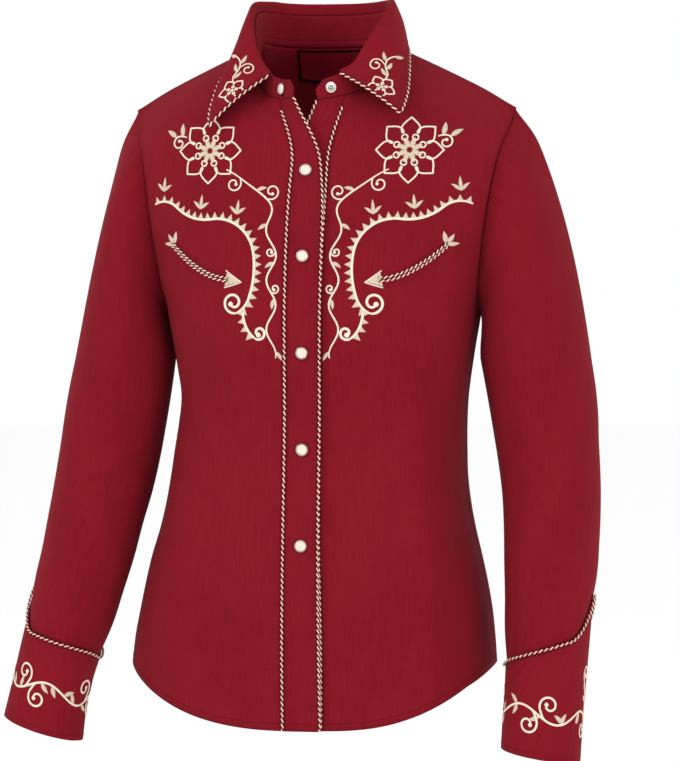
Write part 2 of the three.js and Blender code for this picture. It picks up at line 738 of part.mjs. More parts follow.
function sleeve(side) {
  const sign = side === 'right' ? -1 : 1;
  const table = side === 'right' ? SLEEVE_RIGHT : SLEEVE_LEFT;
  const cuff = CUFFS[side];
  const ring = loops[side];
  const columns = ring.map((p) => {
    const beneath = ((1 - Math.cos(p.theta)) / 2) ** 4;
    const top = plus(p.point, p.across, SEAM + 0.1 + 0.35 * beneath);
    const end = ringAt(table, sign, p.theta, ELBOW_TOP_Z);
    const low = ringAt(table, sign, p.theta, ELBOW_TOP_Z - 2);
    const reach = end.distanceTo(top);
    const arrive = unit(low.clone().sub(end));
    const under = (1 - Math.cos(p.theta)) / 2;
    const start = reach * mix(1, 0.5, under);
    const made = [];
    for (let i = 0; i < CAP_ROWS; i += 1) {
      const t = i / CAP_ROWS;
      const t2 = t * t;
      const t3 = t2 * t;
      const q = vec(0, 0, 0);
      q.addScaledVector(top, 2 * t3 - 3 * t2 + 1);
      q.addScaledVector(p.leave, (t3 - 2 * t2 + t) * start);
      q.addScaledVector(end, 3 * t2 - 2 * t3);
      q.addScaledVector(arrive, (t3 - t2) * reach);
      made.push(q);
    }
    const seam = cuffTop(cuff, p.theta);
    for (let i = 0; i <= SLEEVE_ROWS; i += 1) {
      made.push(ringAt(table, sign, p.theta, mix(ELBOW_TOP_Z, seam + SEAM / 2, i / SLEEVE_ROWS)));
    }
    return made;
  });
  const grid = turn(columns);
  const norm = normals(grid, true, sign);
  const last = grid.length - 1;
  ring.forEach((p, k) => {
    norm[0][k] = p.inward.clone().multiplyScalar(-1);
    norm[last][k] = radial(table, sign, p.theta);
  });
  return { grid, norm };
}

// Outward normal of a sleeve section, level with the ground
function radial(table, sign, theta, z = -620) {
  const wide = read(table, 'z', 'wide', z);
  const deep = read(table, 'z', 'deep', z);
  return unit(vec((sign * Math.cos(theta)) / wide, -Math.sin(theta) / deep, 0));
}

function cuffPiece(side) {
  const sign = side === 'right' ? -1 : 1;
  const table = side === 'right' ? SLEEVE_RIGHT : SLEEVE_LEFT;
  const cuff = CUFFS[side];
  const ring = loops[side];
  const n = ring.length;
  const columns = [];
  const directions = [];
  const first = CUFF_LAP.station - CUFF_LAP.cols;
  for (let k = 0; k <= n + CUFF_LAP.cols; k += 1) {
    const theta = ring[(first + k) % n].theta;
    const tuck = CUFF_LAP.depth * (1 - smooth((k - CUFF_LAP.cols) / 2));
    const out = radial(table, sign, theta);
    const topZ = cuffTop(cuff, theta) - SEAM / 2;
    const endZ = cuffEnd(cuff, theta) + (tuck > 0 ? 0.6 : 0);
    const made = [];
    for (let i = 0; i <= CUFF_ROWS; i += 1) {
      const p = ringAt(table, sign, theta, mix(topZ, endZ, i / CUFF_ROWS));
      made.push(plus(p, out, -tuck));
    }
    columns.push(made);
    directions.push(out);
  }
  const grid = turn(columns);
  return { grid, norm: grid.map(() => directions) };
}

// Collar stand and leaf
const ends = [];
let walked = 0;
stand.forEach((p, i) => {
  walked += i ? p.point.distanceTo(stand[i - 1].point) : 0;
  ends.push(walked);
});
function standHeight(i) {
  const free = Math.min(ends[i], walked - ends[i]);
  const low = ends[i] < walked / 2 ? STAND_LOW : 0;
  const full = mix(STAND_FRONT, STAND_BACK, smooth((free - low) / 110));
  const corner = clamp(free / 16, 0, 1);
  return full * mix(0.55, 1, Math.sqrt(1 - (1 - corner) ** 2));
}
const standRows = [0, 0.5, 1];
const standGrid = standRows.map((v) => stand.map((p, i) => {
  const { up } = standUp(p.s);
  return plus(plus(p.point, p.across, SEAM + 0.1), up, v * standHeight(i));
}));
const standNorm = normals(standGrid, false, 1);
if (standNorm[1][12].y < 0) {
  standNorm.forEach((row) => row.forEach((v) => v.multiplyScalar(-1)));
}
stand.forEach((p, i) => {
  standNorm[0][i] = p.inward.clone().multiplyScalar(-1);
});

const leafCols = stand.map((p, i) => ({ ...p, i })).filter((p) => p.s >= LEAF_START && p.s <= LEAF_END);
const leafSpan = { from: ends[leafCols[0].i], to: ends[leafCols[leafCols.length - 1].i] };
const leafGrid = turn(leafCols.map((p) => {
  const at = (ends[p.i] - leafSpan.from) / (leafSpan.to - leafSpan.from);
  const { up } = standUp(p.s);
  const out = standNorm[2][p.i];
  const base = standGrid[2][p.i];
  const edge = vec(read(LEAF_EDGE, 'at', 'x', at), read(LEAF_EDGE, 'at', 'y', at),
    read(LEAF_EDGE, 'at', 'z', at));
  const rise = mix(3.4, 12, smooth((0.5 - Math.abs(at - 0.5)) / 0.3));
  const crest = plus(plus(base, up, rise), out, 2.2);
  const over = plus(plus(base, up, rise - 2), out, 4.6);
  const made = [plus(base, up, SEAM + 0.1), plus(plus(base, up, rise * 0.6), out, 0.3), crest, over];
  const fall = edge.distanceTo(over);
  for (const v of [0.2, 0.42, 0.64, 0.84, 1]) {
    const q = over.clone().lerp(edge, v);
    made.push(plus(q, unit(plus(out, UP, 0.35)), fall * 0.05 * Math.sin(Math.PI * v)));
  }
  return made;
}));
const leafNorm = normals(leafGrid, false, 1);
if (leafNorm[6][8].y < 0) {
  leafNorm.forEach((row) => row.forEach((v) => v.multiplyScalar(-1)));
}
leafCols.forEach((p, c) => {
  leafNorm[0][c] = standNorm[2][p.i].clone();
});

// Piping paths
function seamPath(key, col) {
  return grids[key].map((row, r) => plus(row[col], norms[key][r][col], PIPING_R + SEAM)).slice(1);
}
function edgePath(key) {
  return grids[key].map((row, r) => {
    const across = unit(row[0].clone().sub(row[1]));
    return plus(plus(row[0], across, PIPING_R + SEAM), norms[key][r][0], -CLOTH / 2);
  });
}
const paths = {
  piping_right_band_seam: seamPath('rightFront', 0),
  piping_left_band_seam: seamPath('leftFront', 0),
  piping_right_band_edge: edgePath('rightBand'),
  piping_left_band_edge: edgePath('leftBand'),
};

function collarPath() {
  const last = leafGrid.length - 1;
  const cols = leafGrid[0].length - 1;
  const path = [];
  const add = (r, c, across) => {
    const d = unit(across);
    path.push(plus(plus(leafGrid[r][c], d, PIPING_R + SEAM + 0.45), leafNorm[r][c], -STIFF / 2));
  };
  for (let r = 3; r < last; r += 1) {
    add(r, 0, leafGrid[r][0].clone().sub(leafGrid[r][1]));
  }
  for (let c = 0; c <= cols; c += 1) {
    const down = unit(leafGrid[last][c].clone().sub(leafGrid[last - 1][c]));
    const beyond = c === 0 ? leafGrid[last][0].clone().sub(leafGrid[last][1]) : vec(0, 0, 0);
    const after = c === cols ? leafGrid[last][cols].clone().sub(leafGrid[last][cols - 1]) : beyond;
    if (c === 0 || c === cols) {
      const side = unit(after);
      const tip = plus(leafGrid[last][c], leafNorm[last][c], -STIFF / 2);
      const beside = unit(plus(side, down, -side.dot(down)));
      const below = unit(plus(down, side, -down.dot(side)));
      const bend = beside.angleTo(below);
      const rounded = [0, 1 / 3, 2 / 3, 1].map((t) => {
        const way = beside.clone().multiplyScalar(Math.sin((1 - t) * bend));
        return plus(tip, unit(plus(way, below, Math.sin(t * bend))), (PIPING_R + SEAM) * TIP_ROOM);
      });
      path.push(...(c === 0 ? rounded : rounded.reverse()));
    } else {
      add(last, c, down);
    }
  }
  for (let r = last - 1; r >= 3; r -= 1) {
    add(r, cols, leafGrid[r][cols].clone().sub(leafGrid[r][cols - 1]));
  }
  return path;
}

function cuffPath(side) {
  const sign = side === 'right' ? -1 : 1;
  const table = side === 'right' ? SLEEVE_RIGHT : SLEEVE_LEFT;
  return loops[side].map((p) => {
    const z = cuffTop(CUFFS[side], p.theta);
    return plus(ringAt(table, sign, p.theta, z), radial(table, sign, p.theta), PIPING_R + SEAM);
  });
}

function pocketPath(sign, level) {
  const path = [];
  for (let i = 0; i <= 12; i += 1) {
    const t = i / 12;
    const x = sign * mix(POCKET.inner, POCKET.outer, t);
    const z = mix(POCKET.innerZ, POCKET.outerZ, t ** POCKET.curve) + level;
    const p = frontAt(x, z, sign > 0);
    const a = frontAt(x + 2, z, sign > 0).sub(frontAt(x - 2, z, sign > 0));
    const b = frontAt(x, z + 2, sign > 0).sub(frontAt(x, z - 2, sign > 0));
    path.push(plus(p, unit(a.cross(b)), PIPING_R + SEAM + 0.5));
  }
  return path;
}

// Materials
function paint(color, roughness, metalness) {
  return new THREE.MeshStandardMaterial({ color, roughness, metalness });
}
const COLOURS = {
  cloth: paint(0x86202b, 0.85, 0),
  piping: paint(0xd9c6ac, 0.7, 0),
  pearl: paint(0xe9e5dc, 0.25, 0.1),
  metal: paint(0x9a9a96, 0.35, 1),
  label: paint(0x3f0c14, 0.8, 0),
};

const group = new THREE.Group();
function put(name, geometry, colour) {
  const mesh = new THREE.Mesh(geometry, COLOURS[colour].clone());
  mesh.name = name;
  group.add(mesh);
}
function putWall(name, grid, norm, thick, closed) {
  put(name, wall(grid, inset(grid, norm, thick), closed), 'cloth');
}

// Cloth pieces
putWall('right_front', grids.rightFront, norms.rightFront, CLOTH, false);
putWall('left_front', grids.leftFront, norms.leftFront, CLOTH, false);
putWall('right_band', grids.rightBand, norms.rightBand, CLOTH, false);
putWall('left_band', grids.leftBand, norms.leftBand, CLOTH, false);
putWall('back', grids.back, norms.back, CLOTH, false);
for (const side of ['right', 'left']) {
  const made = sleeve(side);
  putWall(`${side}_sleeve`, made.grid, made.norm, CLOTH, true);
  const end = cuffPiece(side);
  putWall(`${side}_cuff`, end.grid, end.norm, STIFF, false);
}
putWall('collar_stand', standGrid, standNorm, STIFF, false);
putWall('collar_leaf', leafGrid, leafNorm, STIFF, false);

// Piping
for (const [name, path] of Object.entries(paths)) {
  put(name, cord(path, PIPING_R, false), 'piping');
}
put('piping_collar', cord(collarPath(), PIPING_R, false), 'piping');
for (const side of ['right', 'left']) {
  const sign = side === 'right' ? -1 : 1;
  put(`piping_${side}_cuff`, cord(cuffPath(side), PIPING_R, true), 'piping');
  put(`piping_${side}_pocket_upper`, cord(pocketPath(sign, 1.6), PIPING_R, false), 'piping');
  put(`piping_${side}_pocket_lower`, cord(pocketPath(sign, -1.6), PIPING_R, false), 'piping');
}

// Snaps
SNAP_HEIGHTS.forEach((z, i) => {
  const p = frontAt(0, z, false);
  const down = frontAt(0, z - 2, false).sub(frontAt(0, z + 2, false));
  const out = unit(vec(0, down.z, -down.y)).multiplyScalar(1);
  out.y = -Math.abs(out.y);
  put(`snap_front_${i + 1}`, turned(SNAP_PROFILE, 16, plus(p, out, SEAM), out), 'pearl');
});
function standSnap(name, i, profile, colour) {
  const out = unit(plus(standNorm[1][i], standNorm[1][i + 1]));
  const p = standGrid[1][i].clone().add(standGrid[1][i + 1]).multiplyScalar(0.5);
  put(name, turned(profile, 16, plus(p, out, SEAM + 0.2), out), colour);
}
standSnap('snap_collar_cap', 2, SNAP_PROFILE, 'pearl');
standSnap('snap_collar_stud', stand.length - 3, STUD_PROFILE, 'metal');
for (const side of ['right', 'left']) {
  const sign = side === 'right' ? -1 : 1;
  const table = side === 'right' ? SLEEVE_RIGHT : SLEEVE_LEFT;
  const ring = loops[side];
  const angles = [ring[CUFF_LAP.station].theta, ring[CUFF_LAP.station - 1].theta];
  [0.26, 0.7].forEach((f, i) => {
    const spots = angles.flatMap((theta) => [-3, 3].map((dz) => {
      const low = cuffEnd(CUFFS[side], theta);
      const high = cuffTop(CUFFS[side], theta);
      return ringAt(table, sign, theta, mix(low, high, f) + dz);
    }));
    const p = spots.reduce((sum, q) => sum.add(q), vec(0, 0, 0)).multiplyScalar(0.25);
    const out = unit(spots[1].clone().sub(spots[0]).cross(spots[2].clone().sub(spots[0])));
    const middle = vec(sign * read(table, 'z', 'x', p.z), read(table, 'z', 'y', p.z), p.z);
    if (out.dot(p.clone().sub(middle)) < 0) {
      out.multiplyScalar(-1);
    }
    put(`snap_${side}_cuff_${i + 1}`, turned(SNAP_PROFILE, 16, plus(p, out, SEAM), out), 'pearl');
  });
}

// Neck label, hanging inside the back from the neck seam
function labelGrid() {
  const mid = SHOULDER_COLS + BACK_NECK_COLS / 2;
  const rows = [];
  for (let r = 0; r <= 4; r += 1) {
    const row = [];
    for (let c = 0; c <= 6; c += 1) {
      const x = LABEL.x + (c / 6 - 0.5) * LABEL.width;
      const depth = 1.5 + (LABEL.height * r) / 4;
      row.push(insideBack(x, depth, mid));
    }
    rows.push(row);
  }
  return rows;
}

function insideBack(x, depth, mid) {
  const columnAt = (c) => {
    let left = depth;
    for (let r = 0; r < TOP_ROWS; r += 1) {
      const a = grids.back[r][c];
      const b = grids.back[r + 1][c];
      const d = a.distanceTo(b);
      if (left <= d) {
        const n = unit(norms.back[r][c].clone().lerp(norms.back[r + 1][c], left / d));
        return { p: a.clone().lerp(b, left / d), n };
      }
      left -= d;
    }
    throw new Error('label is too long');
  };
  for (let c = mid - 4; c < mid + 4; c += 1) {
    const a = columnAt(c);
    const b = columnAt(c + 1);
    if (a.p.x <= x && b.p.x >= x) {
      const t = (x - a.p.x) / (b.p.x - a.p.x);
      const n = unit(a.n.clone().lerp(b.n, t));
      return plus(a.p.clone().lerp(b.p, t), n, -(CLOTH + SEAM + 0.9));
    }
  }
  throw new Error('label is too wide');
}
const tag = labelGrid();
const tagNorm = normals(tag, false, 1);
if (tagNorm[2][3].y < 0) {
  tagNorm.forEach((row) => row.forEach((v) => v.multiplyScalar(-1)));
}
put('neck_label', wall(tag, inset(tag, tagNorm, LABEL.thick), false), 'label');

export default group;
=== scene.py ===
# %% [markdown]
# A western snap shirt, filled out as if someone wore it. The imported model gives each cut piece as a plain
# wall at its real size and place. This script dresses those walls: smooth red twill with soft folds,
# twisted two-tone piping, pearl snaps, raised cream embroidery and rows of stitching.
# Everything is in metres, +Z up, and the front of the shirt faces -Y. "Right" is the wearer's right, on -X.

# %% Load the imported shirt
import json
import math

import bmesh
import bpy
import numpy as np
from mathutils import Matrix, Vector
from mathutils.bvhtree import BVHTree

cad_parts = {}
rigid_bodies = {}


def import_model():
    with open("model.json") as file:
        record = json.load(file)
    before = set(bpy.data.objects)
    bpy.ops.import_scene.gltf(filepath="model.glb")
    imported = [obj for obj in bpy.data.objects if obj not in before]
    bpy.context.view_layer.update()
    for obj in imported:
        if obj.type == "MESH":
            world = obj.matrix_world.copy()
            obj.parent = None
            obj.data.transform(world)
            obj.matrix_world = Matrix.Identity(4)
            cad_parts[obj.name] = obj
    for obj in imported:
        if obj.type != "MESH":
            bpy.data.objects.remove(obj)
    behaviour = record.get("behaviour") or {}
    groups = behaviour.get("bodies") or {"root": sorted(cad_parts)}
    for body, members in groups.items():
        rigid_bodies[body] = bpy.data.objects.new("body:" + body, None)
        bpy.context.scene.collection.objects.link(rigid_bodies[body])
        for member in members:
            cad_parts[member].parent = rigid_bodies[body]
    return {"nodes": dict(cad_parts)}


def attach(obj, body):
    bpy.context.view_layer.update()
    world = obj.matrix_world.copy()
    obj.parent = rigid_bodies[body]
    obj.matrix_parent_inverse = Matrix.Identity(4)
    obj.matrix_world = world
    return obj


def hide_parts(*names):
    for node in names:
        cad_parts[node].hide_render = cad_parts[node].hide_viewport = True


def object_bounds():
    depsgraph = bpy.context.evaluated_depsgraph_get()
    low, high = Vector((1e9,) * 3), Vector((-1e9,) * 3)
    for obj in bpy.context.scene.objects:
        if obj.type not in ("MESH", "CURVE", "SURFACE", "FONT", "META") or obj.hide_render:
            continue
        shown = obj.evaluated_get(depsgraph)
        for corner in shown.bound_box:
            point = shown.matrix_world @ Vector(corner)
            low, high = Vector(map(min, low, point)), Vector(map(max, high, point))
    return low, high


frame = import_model()
CAD_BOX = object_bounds()
MM = 0.001
BODY = "root"
bpy.ops.object.select_all(action="DESELECT")
print("cut pieces and trims in the frame:", len(frame["nodes"]))

# %% [markdown]
# The camera stands a little to the wearer's right and almost level, far back, so that the shirt looks as
# flat as in a catalogue picture. A long lens does that. The numbers are the real distance and angles.

# %% Camera
AZIMUTH = math.radians(10)
ELEVATION = math.radians(2)
DISTANCE = 3.5
TARGET = Vector((0, 0, -0.330))
PICTURE = (680, 761)
METRES_PER_PIXEL = 0.00096
TARGET_PIXEL = (324, 391.75)
SENSOR = 36



def placed(name, data):
    """A new object of this name and data, put into the scene."""
    made = bpy.data.objects.new(name, data)
    bpy.context.scene.collection.objects.link(made)
    return made


back = Vector((-math.sin(AZIMUTH) * math.cos(ELEVATION), math.cos(AZIMUTH) * math.cos(ELEVATION),
               -math.sin(ELEVATION)))
side = Vector((math.cos(AZIMUTH), math.sin(AZIMUTH), 0))
above = side.cross(back)
aim = (TARGET + side * (PICTURE[0] / 2 - TARGET_PIXEL[0]) * METRES_PER_PIXEL
       - above * (PICTURE[1] / 2 - TARGET_PIXEL[1]) * METRES_PER_PIXEL)
camera_place = TARGET - back * DISTANCE
looking = aim - camera_place

lens = bpy.data.cameras.new("camera")
lens.sensor_width = SENSOR
lens.sensor_fit = "HORIZONTAL"
lens.lens = SENSOR * DISTANCE / (PICTURE[0] * METRES_PER_PIXEL)
camera = placed("camera", lens)
camera.location = camera_place
camera.rotation_euler = looking.to_track_quat("-Z", "Y").to_euler()
bpy.context.scene.camera = camera
print("lens, mm:", round(lens.lens, 1))

# %% [markdown]
# A plain pale floor and a pale world give the even studio surroundings. Two big soft lamps do the shaping:
# the stronger one from the front left and above, the weaker one from the right.

# %% Floor and light
FLOOR_DROP = 0.30
FLOOR_RADIUS = 14
WHITE = (0.97, 0.97, 0.97, 1)


def linear(r, g, b):
    """A colour given as 0 to 255 screen values, as the shader's linear values."""
    shares = [c / 255 for c in (r, g, b)]
    return (*[c / 12.92 if c <= 0.04045 else ((c + 0.055) / 1.055) ** 2.4 for c in shares], 1)


def lamp(name, place, size, power):
    """A round soft lamp that shines on the shirt; size in metres, power in watts."""
    data = bpy.data.lights.new(name, "AREA")
    data.shape = "DISK"
    data.size = size
    data.energy = power
    made = placed(name, data)
    made.location = place
    made.rotation_euler = (TARGET - Vector(place)).to_track_quat("-Z", "Y").to_euler()


bpy.ops.mesh.primitive_circle_add(vertices=96, radius=FLOOR_RADIUS, fill_type="NGON",
                                  location=(0, 0, CAD_BOX[0][2] - FLOOR_DROP))
floor = bpy.context.object
floor.name = "floor"
pale = bpy.data.materials.new("pale_floor")
pale.use_nodes = True
pale_shader = pale.node_tree.nodes["Principled BSDF"]
pale_shader.inputs["Base Color"].default_value = WHITE
pale_shader.inputs["Roughness"].default_value = 0.95
floor.data.materials.append(pale)

world = bpy.data.worlds.new("studio")
world.use_nodes = True
world.node_tree.nodes["Background"].inputs["Color"].default_value = (1, 1, 1, 1)
world.node_tree.nodes["Background"].inputs["Strength"].default_value = 1.0
bpy.context.scene.world = world
bpy.context.scene.view_settings.view_transform = "Standard"

lamp("key", (-2.3, -2.0, 1.3), 1.4, 36)
lamp("fill", (2.1, -2.3, -0.2), 1.8, 30)
bpy.ops.object.select_all(action="DESELECT")
print("floor at z, m:", round(floor.location.z, 3))

# %% [markdown]
# Each packed cloth wall is a regular net of points with a face on each side. To drape finer cloth over it,
# the net is read back as rows and columns. A ray finds one triangle on the outside. From there every
# neighbour follows by a simple rule: across an edge from a to b, the point opposite p sits at a + b - p,
# counted in rows and columns. Creases of over 55 degrees mark the rim, which fixes where row 0 lies.

# %% Read a wall's rows and columns
RIM_ANGLE = math.radians(55)


def net_of(node, rows, cols, ray_from, ray_to, closed=False):
    """The points that the ray's side of a packed wall is made from, as an array of rows, columns and xyz."""
    bm = bmesh.new()
    bm.from_mesh(frame["nodes"][node].data)
    bmesh.ops.remove_doubles(bm, verts=bm.verts, dist=0.01 * MM)
    bm.faces.ensure_lookup_table()
    start, end = Vector(ray_from), Vector(ray_to)
    first = bm.faces[BVHTree.FromBMesh(bm).ray_cast(start, (end - start).normalized())[2]]
    slopes = sorted(first.edges, key=lambda e: abs(e.verts[0].co.z - e.verts[1].co.z) / e.calc_length())
    corner = next(v for v in slopes[0].verts if v in slopes[2].verts)
    level = slopes[0].other_vert(corner)
    steep = slopes[2].other_vert(corner)
    down = 1 if steep.co.z < corner.co.z else -1

    def grow(inside, sharpest):
        """Rows and columns of all points that can be reached from the first triangle."""
        found = {corner: (0, 0), steep: (down, 0), level: (0, -down)}
        done, todo = {first}, [first]
        while todo:
            face = todo.pop()
            for edge in face.edges:
                other = next((f for f in edge.link_faces if f is not face), None)
                if other is None or other in done or edge.calc_face_angle(0) > sharpest:
                    continue
                a, b = edge.verts
                p = next(v for v in face.verts if v not in edge.verts)
                q = next(v for v in other.verts if v not in edge.verts)
                spot = tuple(found[a][k] + found[b][k] - found[p][k] for k in (0, 1))
                if inside(*spot):
                    found.setdefault(q, spot)
                    done.add(other)
                    todo.append(other)
        return found

    last_row = max(r for r, c in grow(lambda r, c: abs(c) <= 1, RIM_ANGLE).values())
    low_col = 0 if closed else min(c for r, c in grow(lambda r, c: abs(r) <= 1, RIM_ANGLE).values())
    top_row = last_row - rows + 1
    spots = grow(lambda r, c: top_row <= r <= last_row and (closed or low_col <= c < low_col + cols),
                 math.pi)
    net = np.full((rows, cols, 3), np.nan)
    for v, (r, c) in spots.items():
        net[r - top_row, (c - low_col) % cols] = v.co
    bm.free()
    if np.isnan(net).any():
        raise ValueError(node + ": the net has holes")
    return net

# %% [markdown]
# Cotton twill is a weave of fine slanting ribs, matt, with a little fuzz that lightens it at grazing
# angles. The ribs are far smaller than a picture point, so they are bump and slight shade, laid out in the
# cloth's own flat coordinates. Slow cloudy changes of shade and thin upright streaks keep it from looking
# painted. Rows of stitches pull the cloth in: "from_seam" holds the distance to the nearest stitched edge.

# %% Cloth material
RED = linear(119, 17, 30)
RED_DEEP = linear(109, 13, 25)
STITCH_LINE = 6.0 * MM


def new_material(name):
    """A new material with its node tree and its shader."""
    made = bpy.data.materials.new(name)
    made.use_nodes = True
    return made, made.node_tree, made.node_tree.nodes["Principled BSDF"]


def fill(tree, made, inputs):
    """Gives each named or numbered input of a node a value, or the output of another node."""
    for key, value in inputs.items():
        if isinstance(value, bpy.types.NodeSocket):
            tree.links.new(value, made.inputs[key])
        else:
            made.inputs[key].default_value = value


def node(tree, kind, inputs=(), **settings):
    """The first output of a new shader node with these inputs and settings."""
    made = tree.nodes.new("ShaderNode" + kind)
    for key, value in settings.items():
        setattr(made, key, value)
    fill(tree, made, dict(inputs))
    return made.outputs[0]


def fact(tree, name):
    """The number that an attribute of the piece holds at each point."""
    return node(tree, "Attribute", attribute_name=name).node.outputs["Fac"]


def cloudy(tree, spot, scale, detail=2):
    """Random soft clouds."""
    return node(tree, "TexNoise", {"Vector": spot, "Scale": scale, "Detail": detail})


def ribbed(tree, spot, scale, unevenness, **settings):
    """Fine parallel ribs."""
    values = {"Vector": spot, "Scale": scale, "Distortion": unevenness, "Detail": 1}
    return node(tree, "TexWave", values, **settings).node.outputs["Fac"]


def two_tone(tree, share, dark, light):
    """A colour between two shades, by a share from 0 to 1."""
    mix = node(tree, "Mix", {0: share}, data_type="RGBA").node
    for socket, value in zip([i for i in mix.inputs if i.type == "RGBA"], (dark, light)):
        socket.default_value = value
    return next(o for o in mix.outputs if o.type == "RGBA")


def raised(tree, *layers):
    """A surface raised by one layer after another, each a height, its strength and its depth."""
    last = {}
    for height, strength, depth in layers:
        bump = node(tree, "Bump", {"Height": height, "Strength": strength, "Distance": depth, **last})
        last = {"Normal": bump}
    return bump


def cloth_material(name, light, dark):
    """Woven cloth in two near shades, on the piece's own UV map in metres."""
    material, tree, shader = new_material(name)
    flat = node(tree, "UVMap", uv_map="cloth")
    ribs = ribbed(tree, flat, 400, 1.2, bands_direction="DIAGONAL")
    threads = cloudy(tree, flat, 1400)
    streaks = cloudy(tree, node(tree, "Mapping", {"Vector": flat, "Scale": (420, 38, 1)}), 1)
    clouds = cloudy(tree, flat, 9, 3)
    both = node(tree, "Math", {0: streaks, 1: clouds}, operation="ADD")
    shade = node(tree, "MapRange", {"Value": both, "From Min": 0.75, "From Max": 1.25})

    away = node(tree, "Math", {0: fact(tree, "from_seam"), 1: STITCH_LINE}, operation="SUBTRACT")
    near = node(tree, "Math", {0: away}, operation="ABSOLUTE")
    groove = node(tree, "MapRange", {"Value": near, "From Min": 0, "From Max": 2.2 * MM},
                  interpolation_type="SMOOTHSTEP")
    pucker = cloudy(tree, flat, 150, 1)
    fades = node(tree, "MapRange", {"Value": near, "From Min": 0, "From Max": 9 * MM, "To Min": 1,
                                    "To Max": 0})
    puckers = node(tree, "Math", {0: pucker, 1: fades}, operation="MULTIPLY")
    fill(tree, shader, {
        "Base Color": two_tone(tree, shade, dark, light),
        "Normal": raised(tree, (ribs, 0.35, 0.12 * MM), (threads, 0.3, 0.08 * MM), (groove, 0.9, 0.5 * MM),
                         (puckers, 0.8, 0.7 * MM)),
        "Roughness": 0.92, "Specular IOR Level": 0.08,
        "Sheen Weight": 0.03, "Sheen Roughness": 0.5, "Sheen Tint": (0.9, 0.35, 0.38, 1)})
    return material


red_twill = cloth_material("red_twill", RED, RED_DEEP)
print("material:", red_twill.name)

# %% [markdown]
# A fine net passes through every packed point: a smooth curve runs along each row and each column. Because
# neighbouring pieces share the points of their seam, their fine edges meet too.

# %% Smooth a net of points
def through(points, steps, closed=False):
    """Points on a smooth curve along axis 0, steps between each pair, passing through them all."""
    n = len(points)
    if closed:
        held = np.concatenate([points[-1:], points, points[:2]])
        spans = n
    else:
        first, last = 2 * points[0] - points[1], 2 * points[-1] - points[-2]
        held = np.concatenate([first[None], points, last[None]])
        spans = n - 1
    t = (np.arange(steps) / steps).reshape(-1, *[1] * (points.ndim - 1))
    made = []
    for i in range(spans):
        a, b, c, d = held[i:i + 4]
        made.append(0.5 * (2 * b + (c - a) * t + (2 * a - 5 * b + 4 * c - d) * t ** 2
                           + (3 * b - a - 3 * c + d) * t ** 3))
    if not closed:
        made.append(points[-1:])
    return np.concatenate(made)


def smooth_net(net, row_steps, col_steps, closed=False):
    rows = through(net, row_steps)
    return through(rows.transpose(1, 0, 2), col_steps, closed).transpose(1, 0, 2)


def across_of(net, closed=False):
    """Unit normals of a net, on the side that its rows and columns turn to."""
    if closed:
        wrapped = np.concatenate([net[:, -1:], net, net[:, :1]], axis=1)
        along = wrapped[:, 2:] - wrapped[:, :-2]
    else:
        along = np.gradient(net, axis=1)
    normal = np.cross(np.gradient(net, axis=0), along)
    return normal / np.linalg.norm(normal, axis=2, keepdims=True)


def lengths(net, axis):
    """Distance along the rows or columns of a net, from its first line."""
    step = np.linalg.norm(np.diff(net, axis=axis), axis=2)
    start = np.zeros_like(np.take(step, [0], axis=axis))
    return np.concatenate([start, np.cumsum(step, axis=axis)], axis=axis)


def joined(net, closed):
    """A net whose first column follows its last one again where the net is a tube."""
    return np.concatenate([net, net[:, :1]], axis=1) if closed else net


def travelled(points):
    """Distance along a line of points, from its first point."""
    return np.concatenate([[0], np.cumsum(np.linalg.norm(np.diff(points, axis=0), axis=1))])
